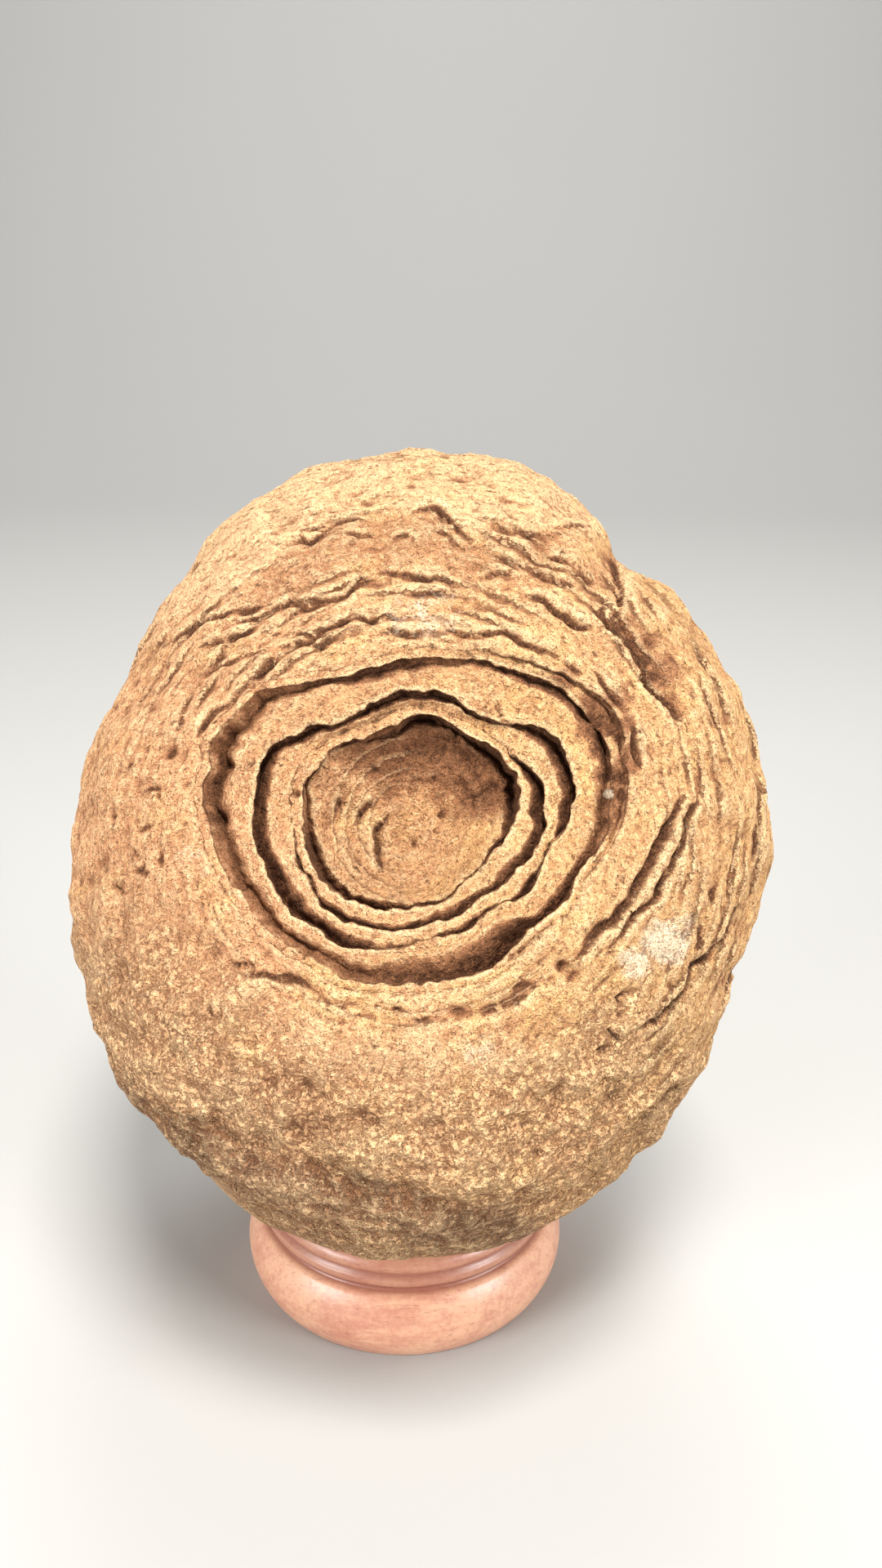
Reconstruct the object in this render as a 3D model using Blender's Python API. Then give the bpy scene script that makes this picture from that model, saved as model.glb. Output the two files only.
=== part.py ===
"""A stromatolite head resting in a turned wooden ring stand.

The stone is one rounded, layered lump. Its front is worn into a bowl of nested shells: each
shell has a crisp inner edge, and its face slopes away outwards and dives under the edge of
the next shell. The stand is a plain turned ring with a fat bead, two fine grooves and a
rounded lip. The stone lies loose in the lip.

World frame: metres, +Z up, the origin on the floor under the centre of the ring, and the
bowl facing -Y. All sizes below are in millimetres.
"""

import math
from collections import namedtuple

import bmesh
import bpy
from mathutils import Vector, noise

MM = 0.001

# --- Ring stand: driving dimensions -------------------------------------------------------
RING_RADIUS = 30.0
RING_HEIGHT = 19.8
HOLE_RADIUS = 19.5
BEAD_HEIGHT = 13.2
GROOVE_DEPTH = 0.9
RING_SIDES = 44

# --- Stone: driving dimensions ------------------------------------------------------------
BOWL_CENTRE = Vector((2.0, -38.0, 106.6))
CORE_CENTRE = Vector((0.0, 0.0, 82.0))
BACK_POLE = Vector((0.0, 50.5, 60.0))
BACK_FULLNESS = 0.88
BACK_SWELL = 0.03
EVENED_GROWTH = 1.09
BACK_SWAY = Vector((-8.4, 0.0, 0.0))
# The bowl's axis leans this far up from the horizontal, and the bowl's rim a little more.
AXIS_LEAN = math.radians(28.0)
RIM_TIP = math.radians(-4.0)
OUTLINE_TIP = math.radians(4.0)
OUTLINE_LEVEL = -31.0
CUP_DEPTH = 13.0
CUP_FOOT_LEVEL = -6.4
NARROWEST_SHELL = 1.1

# --- Seat: the stone's underside is a smooth dome that the ring's lip carries --------------
SEAT_RADIUS = 22.0
SEAT_DOME_RADIUS = 55.0
SEAT_GAP = 0.3
SEAT_FULL_ANGLE = math.radians(30.0)
SEAT_FADE_ANGLE = math.radians(74.0)

# --- Mesh density --------------------------------------------------------------------------
STONE_SEGMENTS = 78
FRONT_RINGS = 17
BACK_RINGS = 15

# A shell's inner edge: the radius, the level of its crisp edge along the bowl's axis, and how
# far the groove inside it drops below the shell before. Sixteen values run anticlockwise
# round the bowl from +X, seen from the front.
Shell = namedtuple("Shell", "radii levels drops")

INNER_SHELL = Shell(
    radii=(14.5, 16, 16, 15, 16, 14.5, 15.5, 17, 15.5, 15.5, 14.5, 13.5, 12, 11.5, 11, 11.5),
    levels=(-4.5,) * 16,
    drops=(0.6,) * 16,
)
SECOND_SHELL = Shell(
    radii=(18.5, 19, 17.5, 16.8, 17.2, 16.3, 17.5, 19.5, 18.5, 17.5, 17, 16, 14.5, 14.5, 14.5, 16),
    levels=(-3.5, -3.5, -4.5, -5, -5, -5, -5, -5, -5, -4.5, -3.8, -3.5, -3.5, -3.5, -3.5, -3.5),
    drops=(3, 2.5, 0.3, 0, 0, 0, 0, 0, 0, 0.8, 2, 2.5, 2, 2, 2.2, 3),
)
THIRD_SHELL = Shell(
    radii=(22, 24, 21, 18.5, 18.5, 18, 19.5, 23, 23, 21.5, 20.5, 19.5, 17.5, 16.5, 16.5, 19),
    levels=(-2, -2, -2, -2, -2, -2, -2, -2, -2, -2, -2, -2.2, -3, -3, -2.8, -2.2),
    drops=(2.5, 4, 4, 3.5, 3.5, 3.5, 4, 4.5, 4.5, 4.5, 4, 3, 0.6, 0.6, 1.5, 1.5),
)
RIM_SHELL = Shell(
    radii=(28.5, 30.5, 28.5, 25.5, 23.5, 23, 26.5, 30, 28.5, 27, 24, 24, 22.5, 23, 22.5, 24),
    levels=(0,) * 16,
    drops=(3.5, 3.5, 4, 4, 4, 4, 4, 3.5, 4, 4, 4.5, 5, 5, 5, 5, 3.5),
)
OUTER_SHELLS = (SECOND_SHELL, THIRD_SHELL, RIM_SHELL)

# The stone's widest outline seen from the front: twenty-four radii about the bowl's axis.
OUTLINE = (
    57.5, 56, 56, 56, 59, 63, 64, 62.5, 62, 57.5, 53, 55,
    54.5, 57, 58, 62, 65, 67, 67.5, 66, 62, 60, 58, 55.5,
)  # fmt: skip

# Worn ledges over and beside the bowl: (fraction of the way from rim to outline, height,
# first clock angle, last clock angle), in degrees anticlockwise from +X.
LEDGES = (
    (0.10, 1.6, 40.0, 150.0),
    (0.26, 2.0, 35.0, 150.0),
    (0.44, 1.7, 30.0, 155.0),
    (0.64, 2.2, 40.0, 120.0),
    (0.34, 1.4, 200.0, 345.0),
    (0.60, 1.4, 300.0, 380.0),
)
LEDGE_FALL = 0.17
LEDGE_FADE = 14.0

# Clefts between split laminae: (clock angle, fraction rim to outline, half width, depth).
CLEFTS = (
    (24.0, 0.55, 4.0, 2.6),
    (33.0, 0.52, 4.5, 4.0),
    (42.0, 0.62, 5.5, 4.6),
    (51.0, 0.80, 5.0, 4.2),
    (333.0, 0.34, 3.5, 2.6),
    (345.0, 0.42, 3.5, 3.2),
    (357.0, 0.50, 3.5, 3.0),
)

# Lumps of the weathered crust: (wavelength, height).
LUMPS = ((30.0, 2.2), (13.0, 1.5), (6.5, 1.0))
SMALL_WEAR = ((9.0, 0.45), (4.5, 0.3))


def axis_frame():
    """The bowl's right, up and outward directions."""
    right = Vector((1.0, 0.0, 0.0))
    up = Vector((0.0, math.sin(AXIS_LEAN), math.cos(AXIS_LEAN)))
    return right, up, right.cross(up)


RIGHT, UP, OUTWARD = axis_frame()


def smoothstep(low, high, value):
    """0 at or below low, 1 at or above high, and smooth between."""
    share = min(max((value - low) / (high - low), 0.0), 1.0)
    return share * share * (3.0 - 2.0 * share)


def around(values, clock):
    """The periodic Catmull-Rom curve through evenly spaced values, at a clock angle."""
    count = len(values)
    place = (clock / math.tau % 1.0) * count
    first = int(place)
    t = place - first
    before, here, after, beyond = (values[(first + step) % count] for step in (-1, 0, 1, 2))
    slope_here = (after - before) / 2.0
    slope_after = (beyond - here) / 2.0
    rise = after - here
    return (
        here
        + slope_here * t
        + (3.0 * rise - 2.0 * slope_here - slope_after) * t * t
        + (slope_here + slope_after - 2.0 * rise) * t * t * t
    )


def wear(clock, radius, layers):
    """Seeded unevenness at one place of the bowl, in millimetres."""
    place = Vector((radius * math.cos(clock), radius * math.sin(clock), 7.0))
    return sum(height * noise.noise(place / wavelength) for wavelength, height in layers)


def on_axis(clock, radius, level, tip=RIM_TIP):
    """The world point at a clock angle, radius and level of the bowl's axis."""
    rise = radius * math.sin(clock)
    return (
        BOWL_CENTRE
        + RIGHT * radius * math.cos(clock)
        + UP * rise
        + OUTWARD * (level + math.tan(tip) * rise)
    )


def edge_radius(shell, clock):
    """The radius of a shell's ragged inner edge."""
    radius = around(shell.radii, clock)
    return radius + wear(clock, radius, SMALL_WEAR)


def cup_section(clock):
    """(radius, level) from near the bowl's middle out to the first shell's edge."""
    foot = edge_radius(INNER_SHELL, clock) - 1.0
    section = []
    for share in (0.22, 0.45, 0.66, 0.84, 1.0):
        level = -CUP_DEPTH + (CUP_DEPTH + CUP_FOOT_LEVEL) * share**2.4
        section.append((foot * share, level))
    section.append((foot + 1.0, around(INNER_SHELL.levels, clock)))
    return section


def shell_section(clock):
    """(radius, level) over the nested shells, from the first edge out to the rim."""
    section = []
    inner = INNER_SHELL
    inner_radius = edge_radius(inner, clock)
    for outer in OUTER_SHELLS:
        outer_radius = max(edge_radius(outer, clock), inner_radius + NARROWEST_SHELL)
        width = outer_radius - inner_radius
        crest = around(inner.levels, clock)
        drop = around(outer.drops, clock)
        section.append((inner_radius + 0.25 * width, crest - 0.05 * drop))
        section.append((inner_radius + 0.60 * width, crest - 0.45 * drop))
        section.append((outer_radius - 0.12 * width, crest - drop))
        section.append((outer_radius, around(outer.levels, clock)))
        inner = outer
        inner_radius = outer_radius
    return section


def ledge_height(clock, share):
    """How far the ledges lift the crust, at a share of the way from rim to outline."""
    degrees = math.degrees(clock) % 360.0
    wander = 0.03 * noise.noise(Vector((math.cos(clock) * 2.5, math.sin(clock) * 2.5, 3.0)))
    lift = 0.0
    for place, height, first, last in LEDGES:
        turned = degrees + 360.0 if degrees < first else degrees
        inside = smoothstep(first, first + LEDGE_FADE, turned)
        inside *= 1.0 - smoothstep(last - LEDGE_FADE, last, turned)
        beyond = share - place - wander
        if beyond >= 0.0:
            lift += height * inside * max(0.0, 1.0 - beyond / LEDGE_FALL)
    return lift


def cleft_depth(clock, share):
    """How deep the clefts cut, at a share of the way from rim to outline."""
    degrees = math.degrees(clock) % 360.0
    depth = 0.0
    for angle, place, half_width, full_depth in CLEFTS:
        turn = (degrees - angle + 180.0) % 360.0 - 180.0
        reach = math.hypot(turn * 0.75, (share - place) * 36.0)
        depth = max(depth, full_depth * (1.0 - smoothstep(0.0, half_width * 1.6, reach)))
    return depth


def front_point(clock, share):
    """A point of the crust between the rim and the widest outline."""
    inner_radius = max(ring_radius for ring_radius, _ in shell_section(clock)) + 0.8
    outline = around(OUTLINE, clock)
    turn = share * math.pi / 2.0
    radius = inner_radius + (outline - inner_radius) * math.sin(turn)
    outline_rise = outline * math.sin(clock)
    edge = OUTLINE_LEVEL + math.tan(OUTLINE_TIP) * outline_rise
    edge -= math.tan(RIM_TIP) * outline_rise
    level = edge + (0.3 - edge) * math.cos(turn)
    point = on_axis(clock, radius, level)
    lift = ledge_height(clock, share) - cleft_depth(clock, share)
    return point + (point - CORE_CENTRE).normalized() * lift


def back_point(clock, share):
    """A point of the crust between the widest outline and the back pole.

    The outline's small bumps die away towards the back.
    """
    middle = BOWL_CENTRE + OUTWARD * OUTLINE_LEVEL
    depth = BACK_POLE - middle
    neighbours = [front_point(clock + math.radians(step), 1.0) for step in (-30, -15, 15, 30)]
    evened = sum(neighbours, Vector()) / len(neighbours) * EVENED_GROWTH
    evened -= middle * (EVENED_GROWTH - 1.0)
    across = front_point(clock, 1.0).lerp(evened, smoothstep(0.0, 0.6, share)) - middle
    turn = share * math.pi / 2.0
    swell = 1.0 + BACK_SWELL * math.sin(2.0 * turn)
    return (
        middle
        + across * math.cos(turn) ** BACK_FULLNESS * swell
        + depth * math.sin(turn) ** BACK_FULLNESS * swell
        + BACK_SWAY * math.sin(2.0 * turn)
    )


def stone_rings(clock):
    """Every point of the stone along one meridian, without its two poles."""
    points = [on_axis(clock, radius, level) for radius, level in cup_section(clock)]
    points += [on_axis(clock, radius, level) for radius, level in shell_section(clock)]
    points += [front_point(clock, step / FRONT_RINGS) for step in range(FRONT_RINGS + 1)]
    points += [back_point(clock, step / BACK_RINGS) for step in range(1, BACK_RINGS)]
    return points


def seat_centre():
    """The centre of the dome that rests on the ring's lip."""
    height = math.sqrt(SEAT_DOME_RADIUS**2 - SEAT_RADIUS**2)
    return Vector((0.0, 0.0, RING_HEIGHT + SEAT_GAP + height))


def weathered(point):
    """The point with the crust's lumps added, and its underside drawn onto the seat's dome."""
    outward = (point - CORE_CENTRE).normalized()
    lift = sum(height * noise.noise(point / wavelength) for wavelength, height in LUMPS)
    point = point + outward * lift
    centre = seat_centre()
    reach = point - centre
    angle = reach.angle(Vector((0.0, 0.0, -1.0)))
    seated = 1.0 - smoothstep(SEAT_FULL_ANGLE, SEAT_FADE_ANGLE, angle)
    return point + reach.normalized() * (SEAT_DOME_RADIUS - reach.length) * seated


def build_stone():
    """The stone: a sphere's rings become its contours, from the cup's middle to the back."""
    meridians = [
        stone_rings(math.tau * step / STONE_SEGMENTS) for step in range(STONE_SEGMENTS)
    ]
    bands = len(meridians[0]) + 1
    stone = bmesh.new()
    bmesh.ops.create_uvsphere(stone, u_segments=STONE_SEGMENTS, v_segments=bands, radius=1.0)
    for vert in stone.verts:
        place = vert.co.normalized()
        ring = round(math.acos(max(-1.0, min(1.0, place.z))) / math.pi * bands)
        if ring == 0:
            target = on_axis(0.0, 0.0, -CUP_DEPTH)
        elif ring == bands:
            target = BACK_POLE
        else:
            step = round(math.atan2(place.y, place.x) / math.tau * STONE_SEGMENTS)
            target = meridians[step % STONE_SEGMENTS][ring - 1]
        vert.co = weathered(target) * MM
    return finish(stone, "stromatolite", (0.50, 0.27, 0.11), 0.95)


def arc(centre_radius, centre_height, radius, first, last, steps):
    """Points of a circular stretch of the ring's section, angles in degrees."""
    points = []
    for step in range(steps + 1):
        angle = math.radians(first + (last - first) * step / steps)
        points.append(
            (centre_radius + radius * math.cos(angle), centre_height + radius * math.sin(angle))
        )
    return points


def ring_section():
    """The ring's closed section as (radius, height), anticlockwise from the hole's foot."""
    bead_radius = 10.6
    bead_height = 6.75
    swing = math.degrees(math.asin(bead_height / bead_radius))
    bead_top = math.degrees(math.asin((BEAD_HEIGHT - bead_height) / bead_radius))
    neck = RING_RADIUS - 2.7
    section = [(HOLE_RADIUS + 0.8, 0.0)]
    section += arc(RING_RADIUS - bead_radius, bead_height, bead_radius, -swing, bead_top, 8)
    section += [(neck - GROOVE_DEPTH, BEAD_HEIGHT + 0.9), (neck, BEAD_HEIGHT + 1.6)]
    section += [(neck - 0.1, BEAD_HEIGHT + 3.0), (neck - GROOVE_DEPTH, BEAD_HEIGHT + 3.7)]
    section += arc(neck - 3.0, RING_HEIGHT - 2.4, 2.4, 5.0, 90.0, 4)
    section += [(SEAT_RADIUS + 0.6, RING_HEIGHT), (SEAT_RADIUS - 0.4, RING_HEIGHT - 0.3)]
    section += [(HOLE_RADIUS, RING_HEIGHT - 2.6), (HOLE_RADIUS, 0.8)]
    return section


def build_ring():
    """The ring stand, turned from its section."""
    ring = bmesh.new()
    section = [ring.verts.new((radius * MM, 0.0, height * MM)) for radius, height in ring_section()]
    edges = [ring.edges.new((section[i - 1], section[i])) for i in range(len(section))]
    bmesh.ops.spin(
        ring,
        geom=section + edges,
        cent=(0.0, 0.0, 0.0),
        axis=(0.0, 0.0, 1.0),
        angle=math.tau,
        steps=RING_SIDES,
        use_merge=True,
    )
    bmesh.ops.recalc_face_normals(ring, faces=ring.faces)
    return finish(ring, "ring_stand", (0.55, 0.27, 0.17), 0.45)


def finish(shape, name, colour, roughness):
    """Turns a bmesh into a named, smooth-shaded object with its own material."""
    mesh = bpy.data.meshes.new(name)
    shape.to_mesh(mesh)
    shape.free()
    mesh.shade_smooth()
    mesh.set_sharp_from_angle(angle=math.radians(50.0))
    thing = bpy.data.objects.new(name, mesh)
    bpy.context.scene.collection.objects.link(thing)
    material = bpy.data.materials.new(name)
    material.use_nodes = True
    shader = material.node_tree.nodes["Principled BSDF"]
    shader.inputs["Base Color"].default_value = (*colour, 1.0)
    shader.inputs["Roughness"].default_value = roughness
    shader.inputs["Metallic"].default_value = 0.0
    mesh.materials.append(material)
    return thing


def main():
    for thing in list(bpy.data.objects):
        bpy.data.objects.remove(thing, do_unlink=True)
    build_ring()
    build_stone()


main()
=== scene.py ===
"""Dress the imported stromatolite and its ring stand, and set up the studio.

The stone is one finely modelled lump that stands for the node ``stromatolite``: a bowl of
nested shells inside a weathered, layered crust. The stand is a turned wooden ring that
stands for the node ``ring_stand``. Every size here is in millimetres unless its class says
otherwise, and is turned into metres where a mesh is made. The stone's edges, worn lines and
patches lie on a chart: a clock angle, anticlockwise from the right, and a reach from the
bowl's middle, both as the camera sees them.
"""

from __future__ import annotations

import logging
import math
from dataclasses import dataclass, field
from enum import Enum
from functools import partial
from typing import Any, Callable, Sequence

import bmesh
import bpy
import numpy as np
from mathutils import Matrix, Vector, noise


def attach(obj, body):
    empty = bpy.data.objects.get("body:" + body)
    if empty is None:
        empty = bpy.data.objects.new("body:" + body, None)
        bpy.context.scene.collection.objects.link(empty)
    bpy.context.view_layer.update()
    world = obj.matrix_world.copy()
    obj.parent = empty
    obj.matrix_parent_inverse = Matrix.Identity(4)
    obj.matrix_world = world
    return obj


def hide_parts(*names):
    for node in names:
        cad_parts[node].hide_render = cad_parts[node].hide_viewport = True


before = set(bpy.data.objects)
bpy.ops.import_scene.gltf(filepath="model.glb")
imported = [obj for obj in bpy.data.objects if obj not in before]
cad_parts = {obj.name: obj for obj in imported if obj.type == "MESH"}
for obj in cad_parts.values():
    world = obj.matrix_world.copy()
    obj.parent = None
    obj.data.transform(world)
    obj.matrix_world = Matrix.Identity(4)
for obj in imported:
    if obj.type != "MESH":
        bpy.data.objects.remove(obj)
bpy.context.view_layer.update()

LOG = logging.getLogger("stromatolite")
MM = 0.001
BODY = "root"

Colour = tuple[float, float, float]
Array = np.ndarray
Place = tuple[float, float, float]
Octave = tuple[float, float, float]
Station = tuple[float, float, float]


# --- Shader maths --------------------------------------------------------------------------


def maths(operation: str, reflected: bool = False) -> Callable[[Value, Any], Value]:
    """Make an operator that adds one Math node.

    Args:
        operation: what the node does.
        reflected: whether the value stands on the right of its operator.

    Returns:
        The method for Value.
    """

    def operator(value: Value, other: Any) -> Value:
        """Add the Math node for a value and the other operand."""
        left, right = (other, value) if reflected else (value, other)
        return value.graph.node("ShaderNodeMath", {"operation": operation}, {0: left, 1: right})

    return operator


class Value:
    """A shader output whose arithmetic adds Math nodes."""

    def __init__(self, graph: Graph, socket: Any) -> None:
        """Keep the socket and the graph it belongs to."""
        self.graph = graph
        self.socket = socket

    __add__, __radd__ = maths("ADD"), maths("ADD", reflected=True)
    __sub__, __rsub__ = maths("SUBTRACT"), maths("SUBTRACT", reflected=True)
    __mul__, __rmul__ = maths("MULTIPLY"), maths("MULTIPLY", reflected=True)

    def alone(self, operation: str) -> Value:
        """Return a Math node's result for this value alone, such as its fraction."""
        return self.graph.node("ShaderNodeMath", {"operation": operation}, {0: self})

    def step(self, low: float, high: float) -> Value:
        """Return a smooth step, 0 at low and 1 at high, which may lie under low.

        Args:
            low: value where the step leaves 0.
            high: value where it arrives at 1.

        Returns:
            The step's result.
        """
        return self.graph.node(
            "ShaderNodeMapRange",
            {"interpolation_type": "SMOOTHSTEP"},
            {"Value": self, "From Min": low, "From Max": high},
        )


class Graph:
    """The node tree of one material."""

    def __init__(self, name: str) -> None:
        """Make a material of that name with an empty Principled shader.

        Args:
            name: the material's name.
        """
        self.material = bpy.data.materials.new(name)
        self.material.use_nodes = True
        self.tree = self.material.node_tree
        self.shader = self.tree.nodes["Principled BSDF"].inputs

    def node(
        self,
        kind: str,
        settings: dict[str, Any] | None = None,
        inputs: dict[Any, Any] | None = None,
        output: Any = 0,
    ) -> Value:
        """Add a node of any kind.

        Args:
            kind: the node's type, such as ShaderNodeTexNoise.
            settings: properties, set before the sockets.
            inputs: socket name or number to a number, a tuple or another Value.
            output: name or number of the output that is wanted.

        Returns:
            The chosen output.
        """
        made = self.tree.nodes.new(kind)
        for key, value in (settings or {}).items():
            setattr(made, key, value)
        for key, value in (inputs or {}).items():
            self.plug(made.inputs[key], value)
        return Value(self, made.outputs[output])

    def plug(self, socket: Any, value: Any) -> None:
        """Link a Value to a socket, or set the socket's own number or colour.

        Args:
            socket: the input.
            value: a Value, a number or a tuple.
        """
        if isinstance(value, Value):
            self.tree.links.new(value.socket, socket)
        elif isinstance(value, tuple) and len(value) == 3 and socket.type == "RGBA":
            socket.default_value = (*value, 1.0)
        else:
            socket.default_value = value

    def mix(self, share: Any, first: Any, second: Any) -> Value:
        """Mix two colours by a share from 0 to 1.

        Args:
            share: how much of the second, from 0 to 1.
            first: a colour.
            second: a colour.

        Returns:
            The mixed colour.
        """
        return self.node(
            "ShaderNodeMix",
            {"data_type": "RGBA", "clamp_factor": True},
            {0: share, 6: first, 7: second},
            output=2,
        )

    def paint(self, colour: Value, *coats: tuple[Any, Colour]) -> Value:
        """Lay coats, each a share from 0 to 1 and a colour, over a colour in turn.

        Args:
            colour: what is painted over.
            coats: each a share and a colour.

        Returns:
            The painted colour.
        """
        for share, coat in coats:
            colour = self.mix(share, colour, coat)
        return colour

    def object_place(self) -> Value:
        """Return object coordinates."""
        return self.node("ShaderNodeTexCoord", output="Object")

    def grain(self, place: Value, size: float, detail: float = 2.0, rough: float = 0.5) -> Value:
        """Return a noise pattern whose features are about size millimetres across.

        Args:
            place: where the pattern is read.
            size: size of its features in millimetres.
            detail: how many finer layers it has.
            rough: how strong those are.

        Returns:
            The pattern, about 0 to 1.
        """
        return self.node(
            "ShaderNodeTexNoise",
            {"noise_dimensions": "3D"},
            {"Vector": place, "Scale": 1.0 / (size * MM), "Detail": detail, "Roughness": rough},
        )

    def attribute(self, name: str, output: str = "Fac") -> Value:
        """Return a number, or with "Vector" a place, stored on the mesh's points."""
        return self.node("ShaderNodeAttribute", {"attribute_name": name}, {}, output=output)

    def bump(self, *layers: tuple[Value, float]) -> Value:
        """Return a normal bumped by (height from 0 to 1, depth in millimetres) in turn.

        Args:
            layers: each a height from 0 to 1 and a depth in millimetres.

        Returns:
            The bumped normal.
        """
        normal = None
        for height, depth in layers:
            inputs = {"Height": height, "Distance": depth * MM, "Strength": 1.0}
            if normal is not None:
                inputs["Normal"] = normal
            normal = self.node("ShaderNodeBump", {}, inputs, output="Normal")
        return normal


@dataclass(frozen=True)
class StoneFinish:
    """Dry granular stone: warm ochre, brown with painted shade in its hollows, grey-brown with
    painted shade underneath, and painted highlights on its crests and lips.
    """

    sand: Colour = (0.60, 0.325, 0.142)
    rose: Colour = (0.58, 0.290, 0.140)
    ochre: Colour = (0.67, 0.375, 0.150)
    umber: Colour = (0.30, 0.130, 0.058)
    brown: Colour = (0.085, 0.032, 0.013)
    bark: Colour = (0.185, 0.074, 0.032)
    dusky_shade: Colour = (0.130, 0.064, 0.036)
    pale: Colour = (0.90, 0.62, 0.34)
    peach: Colour = (0.92, 0.57, 0.29)
    calcite: Colour = (0.86, 0.70, 0.50)
    roughness: float = 0.94
    gloss: float = 0.2

    def material(self) -> bpy.types.Material:
        """Build the material.

        Returns:
            The material.
        """
        graph = Graph("layered_stone")
        place = graph.object_place()
        graph.plug(graph.shader["Base Color"], self._colour(graph, place))
        graph.plug(graph.shader["Roughness"], self.roughness)
        graph.plug(graph.shader["Specular IOR Level"], self.gloss)
        layer = graph.attribute("layer") + (graph.grain(place, 0.9, 2.0) - 0.5) * 0.5
        steps = (1.0 - layer.alone("FRACT")) * graph.attribute("layered")
        crumbs = self._seams(graph, place) * (graph.attribute("crumbly") * 0.42 + 0.10)
        normal = graph.bump(
            (steps, 0.40),
            (graph.grain(place, 1.6, 3.0, 0.65), 1.30),
            (crumbs, 1.0),
            (graph.grain(place, 0.5, 2.0, 0.7), 0.85),
        )
        graph.plug(graph.shader["Normal"], normal)
        return graph.material

    def _seams(self, graph: Graph, place: Value) -> Value:
        """Return 0 in the wiggly seams between crumbs and 1 away from them."""
        return (graph.grain(place, 1.5, 4.0, 0.72) - 0.5).alone("ABSOLUTE").step(0.0, 0.085)

    def _colour(self, graph: Graph, place: Value) -> Value:
        """Lay the colours, painted shade and painted highlights over each other, broad ones first.

        Args:
            graph: the material's nodes.
            place: object coordinates.

        Returns:
            The colour.
        """
        broad = graph.grain(place, 32.0, 3.0)
        patch = graph.grain(place, 9.0, 5.0, 0.65)
        cloud = graph.grain(place, 5.0, 4.0, 0.65)
        side = graph.node("ShaderNodeSeparateXYZ", {}, {"Vector": place}, output="X")
        warm = (side * 9.0 + broad * 1.6 - 0.3).step(0.15, 0.85)
        crown = graph.attribute("crown")
        low = graph.attribute("underside")
        # hollow carries painted shade, partly the hollows' own brown; noise breaks it up.
        hollow = graph.attribute("hollow")
        shade_noise = (graph.grain(place, 1.8, 4.0, 0.75) - 0.5) * 1.2
        mottled = hollow + (patch - 0.5) * 0.5 + hollow * shade_noise
        colour = graph.paint(
            graph.mix(warm, self.rose, self.sand),
            (cloud.step(0.50, 0.32) * 0.45, self.umber),
            ((patch + side * 1.6).step(0.45, 0.70), self.ochre),
            (crown.step(0.0, 1.0) * 0.38, self.pale),
            ((crown * -1.0 + (cloud - 0.5) * 1.2).step(0.1, 1.1) * 0.6, self.umber),
            # Painted shade: the underside darkened to dusky grey-brown, partly its own colour.
            (low * 0.90, self.dusky_shade),
            # Painted highlight on crests, lips and lobes, partly edge wear.
            (graph.attribute("worn") * 0.5, self.pale),
            # Painted shade in the hollows, first umber and then brown.
            (mottled.step(0.05, 0.60), self.umber),
            (mottled.step(0.50, 1.05), self.brown),
        )
        colour = self._lines(graph, place, colour)
        flake = graph.grain(place, 2.2, 5.0, 0.75)
        white = (graph.attribute("calcite") * 1.5 + (flake - 0.5) * 3.0).step(0.5, 1.5)
        colour = graph.mix(white * 0.8, colour, self.calcite)
        return self._grains(graph, place, colour, mottled, low)

    def _grains(
        self, graph: Graph, place: Value, colour: Value, mottled: Value, low: Value
    ) -> Value:
        """Strew the crumbs, the dark pits and the pale grains, drawn out along the layers.

        Args:
            graph: the material's nodes.
            place: object coordinates.
            colour: what is painted over.
            mottled: how hollow the stone is, which is where its shade is painted.
            low: how much painted shade lies on its underside.

        Returns:
            The colour with its grains.
        """
        speck = graph.grain(place, 0.8, 3.0, 0.75)
        dash = graph.grain(graph.attribute("flow", "Vector"), 0.5, 3.0, 0.7)
        crumb = graph.grain(place, 1.9, 5.0, 0.85)
        crumbly = graph.attribute("crumbly")
        seams = self._seams(graph, place)
        light = mottled.step(0.75, 0.25)
        return graph.paint(
            colour,
            # Painted highlight on the crumbs and painted shade in the seams between them.
            (seams * crumbly * (0.34 - low * 0.26), self.peach),
            ((1.0 - seams) * (crumbly * 0.40 + 0.06), self.bark),
            (crumb.step(0.48, 0.38) * 0.36, self.bark),
            (speck.step(0.49, 0.33) * 0.8, self.umber),
            (dash.step(0.44, 0.30) * (0.75 - crumbly * 0.55), self.brown),
            (dash.step(0.55, 0.72) * light * 0.45, self.pale),
            (speck.step(0.54, 0.72) * light * 0.55, self.pale),
        )

    def _lines(self, graph: Graph, place: Value, colour: Value) -> Value:
        """Draw the thin layers, painted highlights on worn lips and painted shadows under them.

        Args:
            graph: the material's nodes.
            place: object coordinates.
            colour: what is painted over.

        Returns:
            The colour with its lines.
        """
        ragged = (graph.grain(place, 0.8, 3.0, 0.7) - 0.5) * 0.9
        away = graph.attribute("line_away") + ragged
        side = graph.attribute("line_side")
        strength = graph.attribute("line_strength")
        # Painted shadow: a thin dark line in the slot under each lip.
        slot_shadow = (strength * 0.55 - away).step(-0.14, 0.10) * side.step(0.5, -0.2)
        # Painted highlight: a pale edge along each lip, kept out of the painted shade.
        edge = away.step(1.0, 0.2) * side.step(0.0, 0.6) * strength.step(0.0, 1.0)
        edge = edge * graph.attribute("hollow").step(0.85, 0.35)
        # Layer lines, partly banding and partly painted shade before each step and highlight on
        # its lip.
        saw = (graph.attribute("layer") + ragged * 0.35).alone("FRACT")
        shown = graph.attribute("layered")
        return graph.paint(
            colour,
            (saw.step(0.66, 0.98) * shown * 0.75, self.brown),
            (saw.step(0.30, 0.02) * shown * 0.40, self.pale),
            (edge * 0.75, self.pale),
            (slot_shadow * 0.92, self.brown),
        )


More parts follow.
